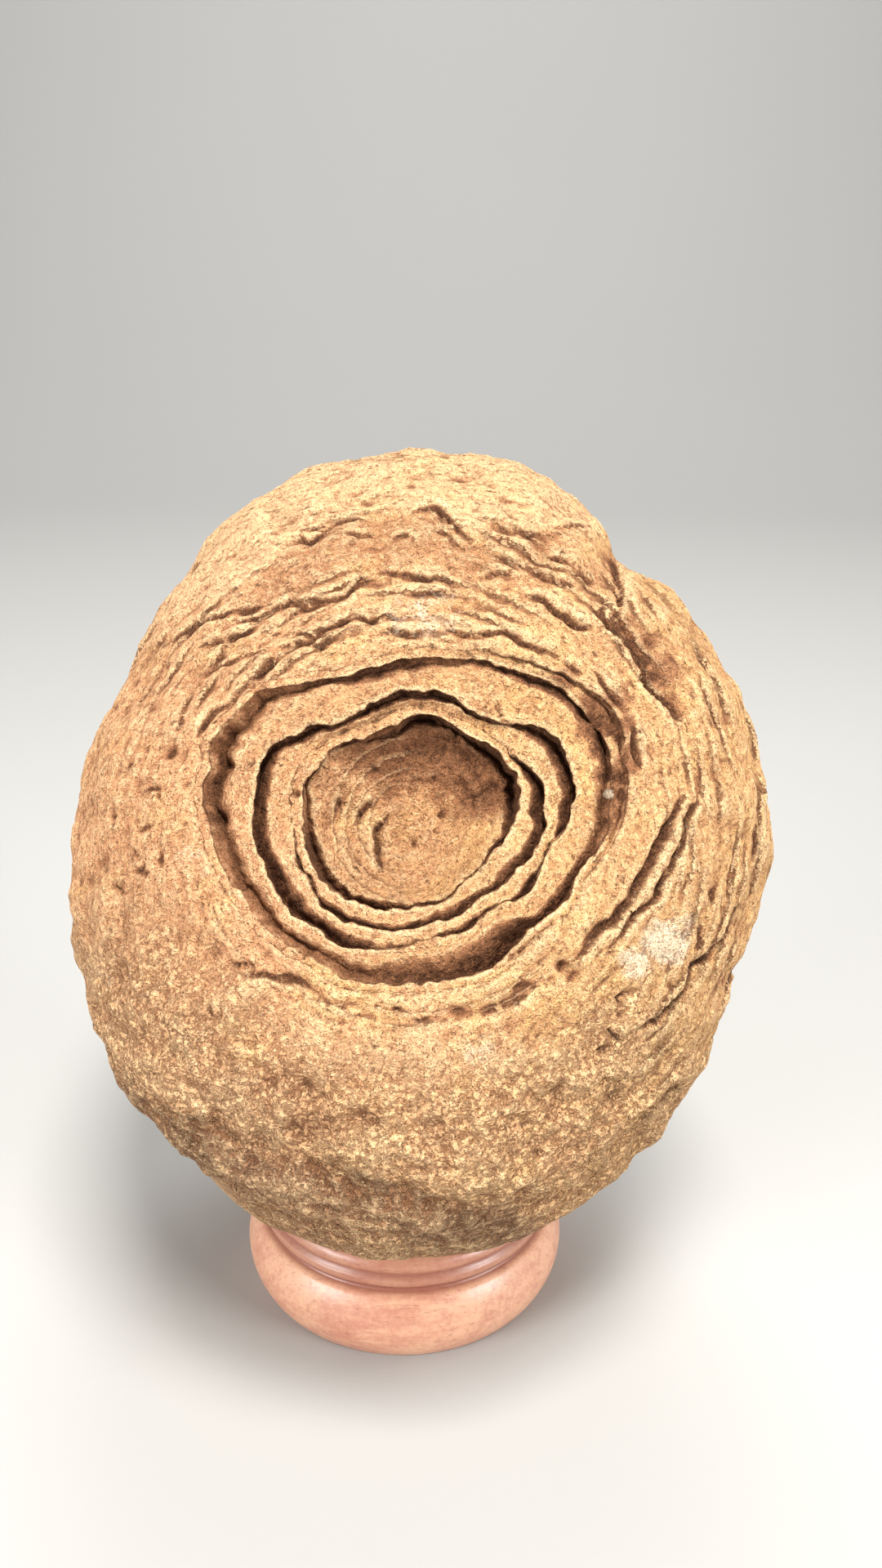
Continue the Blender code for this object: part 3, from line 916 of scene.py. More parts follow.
# fmt: off
STROKES = (
    # The cup's floor and far wall.
    ledge(
        0.5, 0.9, 33, 14.6, 37, 14, 45, 13.4, 52, 13.3, 60, 13.5, 67, 13.8, 75, 13.8, 84, 13.7, 92,
        14,
    ),
    ledge(
        0.6, 1.7, 150, 3, 162, 3.7, 172, 4, 182, 4.6, 192, 5.6, 204, 6.2, 214, 6.9, 222, 7.4, 232,
        8.2, 242, 8.8,
    ),
    scoop(0.8, 1.4, 4, 4.6, 10, 4.8, 16, 4.6, 22, 4.3),
    scoop(0.7, 1.7, 266, 3.3, 274, 3.2, 284, 3.3),
    scoop(0.6, 0.9, 331, 4.3, 336, 4.2, 342, 4.3),
    scoop(1, 0.8, 340, 7.4, 350, 6.9, 358, 6.2, 366, 5.6),
    ledge(0.5, 1, 30, 7.4, 45, 7.5, 60, 7.6, 75, 7, 90, 6.3, 105, 6.1),
    ledge(0.5, 0.7, 355, 9.2, 370, 9.6, 385, 9.9, 405, 9.7, 425, 9.9),
    ledge(0.6, 1.3, 130, 6.2, 145, 6.6, 160, 7.2, 172, 8, 182, 8.8, 190, 9.2),
    ledge(0.6, 1.2, 195, 10.4, 205, 10.7, 215, 10.8, 224, 10.9, 232, 10.6),
    scoop(0.8, 0.9, 174, 13, 180, 12.8, 186, 13.1),
    ledge(0.6, 1.2, 155, 11, 163, 11.6, 172, 12.1, 180, 12.4),
    scoop(0.6, 1.6, 164, 18, 166.5, 18.1, 169, 17.9),
    ledge(0.4, 1, 44, 21, 47, 20.7, 50, 20.5, 52.5, 20.9, 56, 20.7, 60, 20.3, 64, 19.9, 68, 19.6),
    ledge(0.5, 1, 250, 19.6, 257, 19.5, 263, 19, 269, 18.5, 275, 18.1),
    ledge(0.4, 0.6, 190, 17.9, 200, 18.2, 210, 17.8, 220, 18.3),
    scoop(1, 1.5, 176, 28.6, 180, 28.7, 184, 28.8),
    scoop(0.7, 0.9, 162.5, 30.2, 163.2, 28.8, 163.6, 27.4),
    ledge(0.5, 0.8, 303, 25.6, 310, 25.5, 317, 25.4, 323, 25.9),
    # The torn hollow on the upper right, and the ledges beside it.
    drop(
        0.9, 2.3, 19, 42.2, 22.5, 41.4, 26, 40.8, 30, 40.1, 34, 40.8, 38, 41.2, 42, 40.9, 46, 40.5,
        48, 41,
    ),
    scoop(2.6, 1.4, 29, 43, 33, 43.4, 37, 43.6, 41, 43.2),
    scoop(0.9, 2, 30, 41.4, 33, 41.8, 36, 42.2, 40, 42),
    scoop(0.9, 1.8, 23, 31.4, 26, 31.9, 30, 31.5, 33, 31.1),
    scoop(0.7, 1.4, 3, 30.2, 7, 30.6, 12, 31.2, 15, 31.6),
    scoop(0.5, 1.4, 13, 32.8, 16, 33.1, 19, 33.4, 22, 33.8),
    ledge(0.6, 1.9, 45, 41, 45.2, 43, 45.6, 44.8, 47.5, 46.2, 50, 47.6, 53, 48.6),
    crack(0.5, 1.2, 32, 44.8, 31.8, 42.4, 31, 40.6),
    ledge(0.6, 1.3, 46, 41.8, 47.5, 42.1, 49, 42.8),
    ledge(0.5, 1.5, 12, 35.4, 15, 35.4, 18, 35.4, 21, 35.9, 24, 36),
    ledge(0.5, 1.1, 27, 36.2, 30, 35.6, 34, 35.2, 38, 35.3, 41, 34.8),
    ledge(0.7, 1.3, 41, 34, 44, 33.3, 48, 33),
    ledge(0.5, 0.8, 77, 35.2, 80, 34.7, 84, 34.5, 88, 34.3, 93, 34.2),
    # Over the bowl and down its left side.
    scoop(0.8, 1.4, 98.5, 30.4, 101, 30.8, 104, 31.1),
    ledge(0.6, 1, 112, 29.8, 115, 30.2, 118, 30.1, 121, 30.6),
    ledge(0.6, 0.9, 115, 31.6, 119, 32, 122, 32.8, 125, 33),
    scoop(0.9, 1, 123.5, 38.8, 126, 39.5, 129, 39.9, 132, 40.5),
    scoop(0.9, 1, 136, 37.2, 139, 37.5, 142, 37.8, 145.5, 38.5),
    ledge(0.8, 1.9, 129.5, 31.8, 132, 32, 135, 32.2, 138, 32),
    ledge(0.5, 1, 138, 31.9, 142, 32, 146, 32.5, 149, 33.1, 152, 34, 156, 34.6, 161, 34.2),
    ledge(0.5, 0.6, 119, 34.3, 124, 34.6, 129, 34.3, 134, 34.6),
    scoop(0.8, 1.1, 161, 37.2, 163.5, 37.5, 166.5, 37.8),
    ledge(0.5, 0.6, 152, 38.6, 155, 38, 159, 37.4, 162, 36.6),
    scoop(0.7, 0.7, 187, 38, 189, 38.4, 191, 38.2),
    crack(0.5, 0.7, 188.5, 40, 190, 40.8, 191.5, 41.4),
    scoop(1.4, 0.8, 170, 41, 173, 40.7, 176, 41.2),
    # The forehead's long terraces.
    ledge(0.4, 1, 76.4, 36.2, 80.8, 36.1, 85.9, 36.3, 89.7, 36.6, 94.5, 37.4, 98.8, 37.4),
    ledge(0.4, 1, 98.8, 37.2, 103.6, 36, 106.8, 34.9, 112.1, 35.2, 118.9, 37.3),
    ledge(0.5, 1, 107, 34.6, 115, 35.1, 120.2, 37.3, 124.9, 38.4, 130.1, 39, 135.4, 40.9),
    ledge(0.5, 1.5, 127.2, 37, 130.3, 37.6, 136.2, 39.2, 141.2, 41.4),
    ledge(0.4, 0.8, 122.9, 38.9, 127.4, 40.1, 132.7, 41.7, 137.6, 43.7, 145.4, 45),
    ledge(
        0.5, 1, 85.2, 31.2, 91.1, 29.9, 97, 30.9, 102.9, 31.1, 105.5, 31.8, 110.2, 31.4, 120.1,
        31.2, 130.5, 32.6,
    ),
    ledge(0.4, 0.8, 129.6, 32.6, 132.6, 33.6, 139, 36.5, 146.2, 38.8),
    ledge(
        0.5, 1, 45.9, 33.3, 49.3, 33.1, 57.8, 31.6, 64.2, 31.4, 72.3, 29.3, 80.2, 29.1, 89.6, 27.9,
        97.4, 28.9, 103.7, 29.1,
    ),
    ledge(0.45, 1.9, 45.8, 40, 48.7, 38.7, 52.9, 38.4, 58.8, 38.6, 63.5, 37.8),
    ledge(0.6, 1.6, 64.8, 47.3, 68.3, 46.1, 72.2, 45.6, 74.6, 46),
    ledge(0.4, 0.9, 58.6, 51.3, 60.7, 50.6, 64.6, 48.4),
    ledge(0.4, 1.2, 76.4, 42.2, 79, 43.2, 81.6, 44.6, 83.5, 46, 85.9, 47, 89.6, 45.9, 91.5, 45.1),
    ledge(0.4, 0.8, 97.3, 42.1, 99.7, 43.2, 102.5, 42.8, 104.1, 41.4),
    ledge(0.4, 0.7, 104.1, 44.7, 106.8, 45.7, 112, 45.9),
    ledge(0.4, 0.9, 67.8, 40.4, 70.7, 41.3, 74, 41),
    ledge(0.4, 0.8, 72.1, 39.3, 73.8, 37.7),
    ledge(0.4, 0.8, 58.2, 41.7, 61.1, 41.4, 63.8, 41.7),
    ledge(0.4, 0.8, 52.5, 44.6, 56.2, 44.5),
    # The scallops of the brow.
    ledge(
        0.4, 0.9, 97.9, 44.6, 100.8, 45.7, 103.4, 46, 107, 45.1, 109.7, 43.9, 111.2, 45.3, 113.6,
        45.3, 115.9, 44.8,
    ),
    ledge(0.4, 0.7, 98.9, 41.7, 100, 43.1, 101.8, 43.8, 104.3, 43.8, 106.5, 42.5),
    ledge(0.4, 0.7, 88.1, 40.8, 90.1, 42.2, 93, 42.6, 95.5, 41.5),
    ledge(0.4, 0.8, 78.6, 40.7, 81.3, 41.8, 83, 43.3, 85.4, 43.5, 87.2, 42.3),
    ledge(0.4, 0.9, 66.5, 40.1, 68.1, 41.3, 71, 41.5, 73.1, 40.1),
    ledge(0.4, 0.8, 66.7, 39.2, 70.8, 39.6, 73.4, 38.1),
    ledge(0.4, 1, 56.2, 45.9, 58.4, 45.2, 61.3, 44.8, 63.8, 43.9),
    ledge(0.4, 1, 55, 42.1, 57.6, 41.9, 61.5, 41.1),
    # Pits and short cracks of the left flank.
    crack(0.45, 0.8, 171.5, 38.6, 172.6, 37.8, 172.7, 39.9, 174.4, 40.7),
    scoop(0.6, 0.8, 173.5, 38.8, 174.7, 38.3),
    crack(0.45, 0.8, 189.4, 40.7, 190.1, 42, 191.2, 39.8, 192.8, 40.9),
    crack(0.4, 0.7, 185.5, 41.9, 187.1, 41.3, 188.7, 41),
    scoop(0.55, 0.7, 186.8, 38.1, 188.1, 37.6),
    crack(0.45, 0.9, 162.5, 38.3, 163.7, 37.3, 165.7, 37.5),
    crack(0.4, 0.7, 166.7, 42.3, 168.2, 42.8, 169.7, 43.5),
    crack(0.4, 0.7, 180.9, 38.7, 181.4, 39.9, 182.7, 41.1),
    scoop(0.55, 0.7, 178.5, 44.9, 179.8, 44.3),
    crack(0.4, 0.7, 191.5, 45.8, 192.6, 44.9, 194.4, 44.5),
    scoop(0.5, 0.6, 170.1, 34.5, 171.3, 34),
    # Below the bowl.
    scoop(1.5, 0.5, 213, 34, 215, 35.2, 216.5, 36),
    crack(0.5, 0.9, 217.5, 36.6, 218.6, 34.8, 220, 33, 222, 32.3, 225, 31.8),
    ledge(0.5, 1, 220.5, 34.8, 223, 33.9, 226, 32.3, 230, 31, 234, 30),
    ledge(0.6, 1.1, 225, 30.7, 229, 30.5, 233, 29.8, 237, 29.5, 242, 29.3),
    ledge(0.5, 0.7, 244, 29.8, 249, 29.8, 252, 29.2, 256, 29),
    scoop(0.6, 0.7, 263, 27.9, 265, 27.8, 267.5, 28.1),
    ledge(0.5, 0.9, 269.5, 29.7, 272, 30, 274.5, 30.2, 277, 29.6),
    scoop(0.8, 0.9, 281, 29.3, 283.5, 29.5, 286, 29.5),
    ledge(0.5, 1.1, 287, 31.1, 292, 30.8, 297, 31.1, 303, 31, 309, 30.9, 312, 31.7, 314.5, 32.8),
    scoop(0.9, 0.9, 299, 29.7, 303, 29.8, 308, 29.5),
    scoop(0.9, 1.5, 313, 33.8, 315.5, 33.4, 319, 33.2),
    scoop(1, 1.5, 313.5, 31.5, 316, 31.2, 318.5, 31),
    ledge(0.5, 0.9, 302, 25.4, 308, 25.2, 314, 25.3, 322, 25.7),
    ledge(0.5, 0.8, 331, 27, 334, 27.6, 338, 27.7, 342, 27.3),
    ledge(0.5, 0.7, 322, 35.3, 325, 35.4, 328, 35, 331, 35.1),
    # The two long clefts on the lower right.
    ledge(
        1.1, 2.3, 320, 32.2, 324, 32.2, 328, 32.4, 331, 33.3, 334, 34.4, 338, 35, 342, 35.3, 346,
        35.9, 350, 36.7, 354, 37.6, 358, 38.6, 362, 39.6, 366, 40.4,
    ),
    ledge(
        0.6, 1.8, 329, 34.6, 332, 35.2, 335, 36, 339, 36.9, 343, 38.5, 347, 38, 350, 39.1, 353, 40,
        356, 40.8, 358, 41.3, 360, 41, 363, 42.2, 366, 43,
    ),
    crack(0.4, 1.4, 307.5, 45.6, 310, 44.9, 313.3, 44.4),
    crack(0.4, 1.5, 313.4, 46, 313.5, 44, 313.2, 42.2),
    crack(0.4, 1.3, 315.6, 42.6, 317.8, 42.2, 319.4, 40.8, 323, 40.9),
    crack(
        0.55, 2.3, 316.4, 45.4, 319.6, 46.6, 322.5, 47.7, 327, 48, 331, 47.4, 333.5, 47.6, 335.2,
        48.9, 339.5, 49.6, 346, 50.2,
    ),
    crack(0.4, 1.1, 334.4, 48, 336.6, 46.4, 338.6, 45.8, 341, 44.9),
    crack(0.4, 0.9, 326.8, 47.4, 327.2, 46, 328.6, 45),
    ledge(0.5, 0.9, 344, 46.2, 346, 46, 348, 46.4),
    ledge(0.5, 0.9, 348.5, 48.8, 350.5, 48.5, 352.5, 48.7),
    ledge(0.5, 0.9, 353, 50.8, 356, 51.3, 359.5, 51.2),
    crack(0.4, 0.9, 330.8, 43.8, 331.8, 43.2, 332.3, 42),
    # Folds of the belly.
    scoop(1.7, 1.1, 246, 51.5, 248.5, 50, 251, 48.4, 254, 46.6, 258, 45.2, 262, 44.6),
    scoop(
        2.4, 1.5, 233, 56.5, 238, 55.2, 244, 54.2, 251, 53.2, 258, 55.4, 266, 56.8, 273, 57.9, 281,
        59.2, 290, 60,
    ),
    crack(0.4, 0.8, 221.5, 40.6, 223, 41.6, 224.5, 42.6),
    scoop(2.6, 1.5, 235, 61.8, 239.6, 62.4, 244, 62.6),
    scoop(1.6, 1, 331, 53, 334, 53.5, 337, 53.4),
    scoop(2.1, 1, 236, 42.4, 238, 43, 243.4, 43.4, 250.6, 43.7, 257.6, 42.2),
    scoop(2.1, 1.1, 285, 47.6, 290, 47.8, 296.2, 46.7, 301.8, 44.9),
)
# fmt: on


@dataclass(frozen=True)
class Patch:
    """A round region of the crust: clock angle in degrees, reach, radius and strength."""

    clock: float
    reach: float
    radius: float
    strength: float

    def cover(self, x: Array, y: Array) -> Array:
        """Return how strongly places on the chart lie in the patch.

        Args:
            x: places to the right on the chart.
            y: places up on the chart.

        Returns:
            The cover of each place.
        """
        middle_x, middle_y = on_chart(math.radians(self.clock), self.reach)
        away = np.hypot(x - middle_x, y - middle_y)
        return self.strength * (1.0 - smooth_step(0.3, 1.3, away / self.radius))


def patches(*rows: tuple[float, float, float, float]) -> tuple[Patch, ...]:
    """Return patches from rows of clock angle, reach, radius and strength."""
    return tuple(Patch(*row) for row in rows)


# fmt: off
CALCITE_PATCHES = patches(
    (327.5, 39.3, 3.4, 1), (334.5, 41.6, 4.6, 1.1), (338.5, 42.6, 3, 0.8), (84, 31.5, 5.5, 0.55),
    (92, 30.8, 4.5, 0.5), (191.5, 33.5, 4, 0.38), (286, 35.6, 4, 0.55), (206, 52, 4, 0.4),
    (8, 29.4, 0.9, 1),
)
# The torn strip on the bowl's right and other dark patches, brown and painted shade, and the light
# chips left in them.
BROWN_AND_SHADE_PATCHES = patches(
    (28, 30.8, 3.1, 1), (34, 31.4, 2, 0.7), (31, 34, 1.8, 0.6), (21, 30.4, 2.5, 0.95),
    (13.5, 29.7, 2.3, 0.9), (7, 29.4, 2.6, 0.75), (0.5, 28.9, 2.5, 0.7), (25, 33.4, 1.3, 0.6),
    (17, 33.2, 1, 0.5), (2, 30.6, 1.5, 0.8), (7, 31.2, 1.6, 0.85), (12, 31.6, 1.6, 0.9),
    (17, 32.3, 1.5, 0.9), (23, 32.3, 1.9, 1), (27.5, 32, 2.2, 1.1), (33, 31.9, 1.8, 0.8),
    (35, 41.8, 1.7, 1.2), (39.5, 41.8, 1.3, 1), (31, 41.6, 1.3, 1), (14, 33.6, 1.7, 0.75),
    (18.5, 33.9, 1.4, 0.7), (24.5, 34.8, 1.9, 0.7), (31, 35.6, 2.3, 0.6), (16.5, 36.2, 1.3, 0.5),
    (43, 30.6, 2.4, 0.6), (31, 43.6, 3.4, 0.55), (38, 43.2, 2.8, 0.45), (43, 43, 1.8, 0.5),
    (62, 40.6, 3.2, 0.25), (66, 44.2, 2.8, 0.22), (56, 43.5, 2.6, 0.25), (178, 28.8, 2.6, 0.75),
    (163, 28.6, 1.2, 0.6), (101, 30.8, 0.9, 0.6), (243, 43.1, 4.8, 0.25), (250.3, 48.6, 3, 0.45),
    (261.6, 44.1, 2.8, 0.35), (255, 46.2, 2.4, 0.35), (295.5, 48, 1.6, 0.4),
    (275, 46.5, 3.2, 0.15), (285, 42, 3, 0.18), (232, 44.5, 3.2, 0.2), (221, 41.6, 2.4, 0.2),
    (208, 46, 3, 0.12), (304, 52, 3, 0.15),
)
CHIPS = patches(
    (10.5, 29.7, 0.7, 0.9), (20.5, 35.3, 1, 0.8), (27.5, 32.6, 0.8, 0.7), (36, 33.3, 0.9, 0.7),
    (17.6, 31.4, 0.9, 0.9), (20, 31.6, 1.1, 0.95), (22.3, 31.7, 0.8, 0.9),
)
# Painted highlights on the belly's lobes and on the sill below the bowl.
HIGHLIGHT_PATCHES = patches(
    (264, 48.9, 5, 0.7), (237, 47.4, 3.6, 0.7), (225, 47.6, 3.4, 0.6), (302, 43.5, 4.5, 0.4),
    (312, 47.5, 3.5, 0.4), (244, 34.8, 5, 0.45), (258, 34.6, 5, 0.5), (272, 34.8, 5, 0.5),
    (287, 35.5, 5, 0.5), (281, 55, 4, 0.4), (205, 53, 4, 0.5),
)
# fmt: on

# Places between which the crust turns out of the chart's sight.
OUT_OF_SIGHT = (0.97, 1.06)
# Noises, each as its height, wavelength and seed.
LUMPS = ((2.2, 30.0, 0.0), (1.5, 13.0, 0.0), (1.0, 6.5, 0.0))
LIP_JAGS = ((0.16, 2.8, 5.0), (0.30, 1.3, 9.0))
BOWL_GRAIN = ((0.26, 2.3, 3.0), (0.26, 1.25, 6.0))
GRANULES = ((0.30, 5.2, 3.0), (0.24, 2.6, 7.0), (0.22, 1.35, 13.0))
LAYER_WAVES = ((0.6, 7.0, 21.0), (0.25, 1.4, 4.0))
REAR_WAVES = ((0.9, 9.0, 21.0), (0.3, 3.0, 4.0))


# --- The stone -----------------------------------------------------------------------------


@dataclass
class Stromatolite:
    """The stone: a cup, nested shells and a layered crust, as one closed skin.

    Attributes:
        sight: the camera whose chart places the edges, lines and patches.
        bowl_centre: the bowl's middle, at the rim.
        core_centre: the middle that the crust's relief points away from.
        back_pole: where the skin closes at the back.
        axis_lean: how far the bowl looks up.
        rim_tip: how far the rim's plane tips forward from the bowl's axis.
        outline_tip: how far the widest outline's plane tips.
        outline_level: place of the widest outline along the bowl's axis.
        notch_clock: clock angle of the notch in the outline, in degrees.
        notch_width: its width in degrees.
        notch_depth: its depth.
        cup_depth: depth of the cup under the rim.
        cup_foot_level: level of the cup's wall at its edge.
        narrowest_shell: least width of a shell.
        lip_drop: how far under its level a shell's sharp edge lies.
        edge_rounds: rounds in which the edges are drawn to their reaches.
        edge_pace: share of the error that a round takes away.
        lip_stations: clock angles at which a jagged edge is worked out.
        far_wall_shade: how dark the cup's far wall is.
        back_fullness: power that rounds the back, 1 for an ellipse.
        back_swell: share by which the back bulges.
        evened_growth: how much wider the evened contour is that the back runs into.
        back_sway: shift of the back's middle.
        seat_radius: radius of the ring's lip on which the stone sits.
        seat_dome_radius: radius of the dome that rests there.
        seat_gap: stand-in gap between the dome and the lip.
        ring_height: height of the lip.
        seat_angles: angles from straight down between which the dome fades out.
        segments: points round each contour.
        cup_rings: contours on the cup's floor.
        front_rings: contours between the rim and the widest outline.
        back_rings: contours between the widest outline and the back.
        shells: the shells' edges, from the cup out to the crust.
        outline: radii of the widest outline.
    """

    sight: Camera
    bowl_centre: Vector = field(default_factory=partial(Vector, (2.0, -38.0, 106.6)))
    core_centre: Vector = field(default_factory=partial(Vector, (0.0, 0.0, 82.0)))
    back_pole: Vector = field(default_factory=partial(Vector, (0.0, 50.5, 60.0)))
    axis_lean: float = math.radians(28.0)
    rim_tip: float = math.radians(-4.0)
    outline_tip: float = math.radians(4.0)
    outline_level: float = -31.0
    notch_clock: float = 53.5
    notch_width: float = 5.0
    notch_depth: float = 3.8
    cup_depth: float = 14.0
    cup_foot_level: float = -6.0
    narrowest_shell: float = 1.1
    lip_drop: float = 0.3
    edge_rounds: int = 10
    edge_pace: float = 0.8
    lip_stations: int = 1441
    far_wall_shade: float = 0.72
    back_fullness: float = 0.88
    back_swell: float = 0.03
    evened_growth: float = 1.09
    back_sway: Vector = field(default_factory=partial(Vector, (-8.4, 0.0, 0.0)))
    seat_radius: float = 22.0
    seat_dome_radius: float = 55.0
    seat_gap: float = 0.3
    ring_height: float = 19.8
    seat_angles: tuple[float, float] = (math.radians(30.0), math.radians(74.0))
    segments: int = 432
    cup_rings: int = 20
    front_rings: int = 92
    back_rings: int = 32
    shells: tuple[Shell, ...] = (CUP_EDGE, SECOND_EDGE, THIRD_EDGE, RIM_EDGE, CRUST_EDGE)
    outline: tuple[float, ...] = (
        57.2, 55.8, 56, 56, 59, 62.7, 63.7, 62.2, 61.2, 57.3, 52.5, 54.2,
        54.2, 56.9, 57.4, 61, 63.5, 66.8, 67.5, 66, 61.6, 59.6, 57.5, 55.1,
    )  # fmt: skip

    def __post_init__(self) -> None:
        """Work out the axis's directions, each meridian's clock angle and the edges."""
        self.right = np.array((1.0, 0.0, 0.0))
        self.up = np.array((0.0, math.sin(self.axis_lean), math.cos(self.axis_lean)))
        self.outward = np.cross(self.right, self.up)
        self.clock = np.arange(self.segments) * math.tau / self.segments
        self.lips = [self._lip(number) for number in range(len(self.shells))]
        self.radii = self._edge_radii()

    # Contours.

    def on_axis(self, radius: Array, level: Array) -> Array:
        """Return world points at each clock angle, a radius and a level.

        Args:
            radius: distance from the axis at each clock angle.
            level: place along the axis.

        Returns:
            A point for each clock angle.
        """
        run, rise = on_chart(self.clock, radius)
        along = level + math.tan(self.rim_tip) * rise
        return (
            np.array(self.bowl_centre)
            + run[:, None] * self.right
            + rise[:, None] * self.up
            + along[:, None] * self.outward
        )

    def _lip(self, number: int) -> tuple[Array, Array]:
        """Return closely spaced clock angles, and a shell's jagged edge on the chart there.

        Args:
            number: which shell it is.

        Returns:
            The angles in radians, and the edge's reaches.
        """
        clock = np.linspace(0.0, math.tau, self.lip_stations)
        reach = around(self.shells[number].reaches, clock)
        apart = 0.0 * reach + 11.0 * number
        return clock, reach + rough(np.stack((*on_chart(clock, reach), apart), axis=-1), *LIP_JAGS)

    def _edge_radii(self) -> list[Array]:
        """Return each shell's edge radius, so that it lies at its reach on the chart.

        Returns:
            For every shell a radius at each clock angle.
        """
        radii: list[Array] = []
        for shell, (spots, lips) in zip(self.shells, self.lips):
            level = around(shell.levels, self.clock) - self.lip_drop
            radius = around(shell.reaches, self.clock)
            for _ in range(self.edge_rounds):
                edge = self._with_lumps(self.on_axis(radius, level))
                clock, reach = self.sight.chart(edge)
                error = np.interp(clock % math.tau, spots, lips) - reach
                radius = radius + self.edge_pace * error
            if radii:
                radius = np.maximum(radius, radii[-1] + self.narrowest_shell)
            radii.append(radius)
        return radii

    def _bowl_rings(self) -> list[tuple[Array, Array]]:
        """Return (contour, painted shade) pairs from the cup's middle to the rim.

        Returns:
            The pairs in order.
        """
        cup, end = self.shells[0], self.radii[0]
        inner = end - around(cup.bands, self.clock)
        shade = self.far_wall_shade * bell(np.degrees(self.clock), 72.0, 78.0)
        rings = []
        for step in range(1, self.cup_rings + 1):
            share = step / self.cup_rings
            radius = inner * share
            contour = self.on_axis(radius, self._cup_level(radius, end))
            rings.append((contour, shade * smooth_step(0.15, 0.75, share)))
        edge = around(cup.levels, self.clock)
        top = self._cup_level(inner, end)
        for contour, dark in self._hollow(cup, inner, end, top, edge, self.radii[1] - end):
            rings.append((contour, np.maximum(dark, shade)))
        for number in range(len(self.shells) - 1):
            rings += self._shell_rings(number)
        return rings

    def _cup_level(self, radius: Array, edge: Array) -> Array:
        """Return the level of the cup's floor, with its faint rings and small knob.

        Args:
            radius: distance from the axis.
            edge: radius of the cup's edge.

        Returns:
            The level at each clock angle.
        """
        share = np.clip(radius / edge, 0.0, 1.0)
        level = -self.cup_depth + (self.cup_depth + self.cup_foot_level) * share**2.4
        left = 0.5 - 0.5 * np.cos(self.clock - math.radians(15.0))
        knob = 0.35 * np.exp(-((radius - 4.2) ** 2) / 1.2)
        inner_ring = 0.3 * np.exp(-((radius - 7.6) ** 2) / 0.4)
        outer_ring = 0.3 * np.exp(-((radius - 10.6) ** 2) / 0.5)
        rings = inner_ring + outer_ring
        return level + knob * (0.25 + 0.75 * left) + rings * (0.4 + 0.6 * left)

    def _shell_rings(self, number: int) -> list[tuple[Array, Array]]:
        """Return (contour, painted shade) pairs from one shell's edge to the next.

        Args:
            number: which shell lies inside.

        Returns:
            The pairs in order.
        """
        outer = self.shells[number + 1]
        start, end = self.radii[number : number + 2]
        width = end - start
        last = number + 2 == len(self.radii)
        beyond = 6.0 + 0.0 * end if last else self.radii[number + 2] - end
        crest = around(self.shells[number].levels, self.clock)
        edge = around(outer.levels, self.clock)
        band = np.clip(around(outer.bands, self.clock), 0.3, 0.75 * width)
        inner = end - band
        top = crest + 0.45 * (edge - crest) - 0.12 * band
        lip = np.minimum(1.0, width / 3.0)
        rings = []
        for run, fall in ((0.02, 0.38), (0.16, 0.08), (0.42, -0.06)):
            rings.append((self.on_axis(start + run * lip, crest - fall * lip), 0.0 * lip))
        for share in np.linspace(0.0, 1.0, outer.steps[0] + 2)[1:]:
            radius = start + 0.42 * lip + (inner - start - 0.42 * lip) * share
            level = crest + 0.06 * lip + (top - crest - 0.06 * lip) * share**1.6
            # Painted shade that deepens towards the hollow under the next edge.
            dark = 0.16 * share**3 * smooth_step(0.5, 2.0, band)
            rings.append((self.on_axis(radius, level), dark))
        return rings + self._hollow(outer, inner, end, top, edge, beyond)

    def _hollow(
        self, shell: Shell, inner: Array, end: Array, top: Array, edge: Array, beyond: Array
    ) -> list[tuple[Array, Array]]:
        """Shape the hollow under a shell's edge.

        Args:
            shell: the shell whose edge closes the hollow.
            inner: radius where the hollow starts.
            end: radius of the edge.
            top: level where the hollow starts.
            edge: level of the edge.
            beyond: width of the next shell.

        Returns:
            (contour, painted shade) pairs, down into the hollow and up under the edge.
        """
        width = end - inner
        band = np.clip(np.minimum(around(shell.bands, self.clock), width), 0.0, None)
        crisp = np.clip(around(shell.crisp, self.clock), 0.0, 1.0)
        depth = shell.deepness * band**0.75 * (0.7 + 0.3 * crisp)
        floor = np.minimum(top, edge) - depth
        slump = 0.5 * width * (1.0 - crisp) * smooth_step(0.4, 1.0, band)
        # Painted shade in the hollow, partly its own brown, darkest under a crisp edge.
        dark = smooth_step(0.15, 1.3, depth) * (0.42 + 0.58 * crisp)
        rings = []
        for share in np.linspace(0.0, 1.0, shell.steps[1] + 1)[1:]:
            radius = inner + (width - slump) * share
            level = top + (floor - top) * share**1.5
            fall = smooth_step(-0.5 * crisp, 1.0 - 0.5 * crisp, share)
            rings.append((self.on_axis(radius, level), 0.92 * dark * fall))
        under = np.minimum(np.minimum(0.3 * depth, 0.8), 0.4 * beyond) * crisp
        for share in (0.3, 0.6, 0.85, 1.0):
            bulge = math.sin(math.pi * (0.15 + 0.85 * share)) * (1.0 - 0.3 * share)
            radius = end + under * bulge - slump * (1.0 - share) ** 1.3
            level = floor + (edge - self.lip_drop - floor) * share
            rings.append((self.on_axis(radius, level), dark * (1.0 - 0.75 * share**2)))
        return rings

    def _front_ring(self, share: float) -> Array:
        """Return one contour between the rim (share 0) and the widest outline (share 1).

        Args:
            share: its place.

        Returns:
            The contour.
        """
        turn = share * math.pi / 2.0
        away = (np.degrees(self.clock) % 360.0 - self.notch_clock) / self.notch_width
        notch = self.notch_depth * np.exp(-(away**2))
        radius = around(self.outline, self.clock) - notch
        tilt = math.tan(self.outline_tip) - math.tan(self.rim_tip)
        level = self.outline_level + tilt * (radius * np.sin(self.clock))
        start, start_level = self.radii[-1] + 0.5, 0.3
        return self.on_axis(
            start + (radius - start) * math.sin(turn),
            level + (start_level - level) * math.cos(turn),
        )

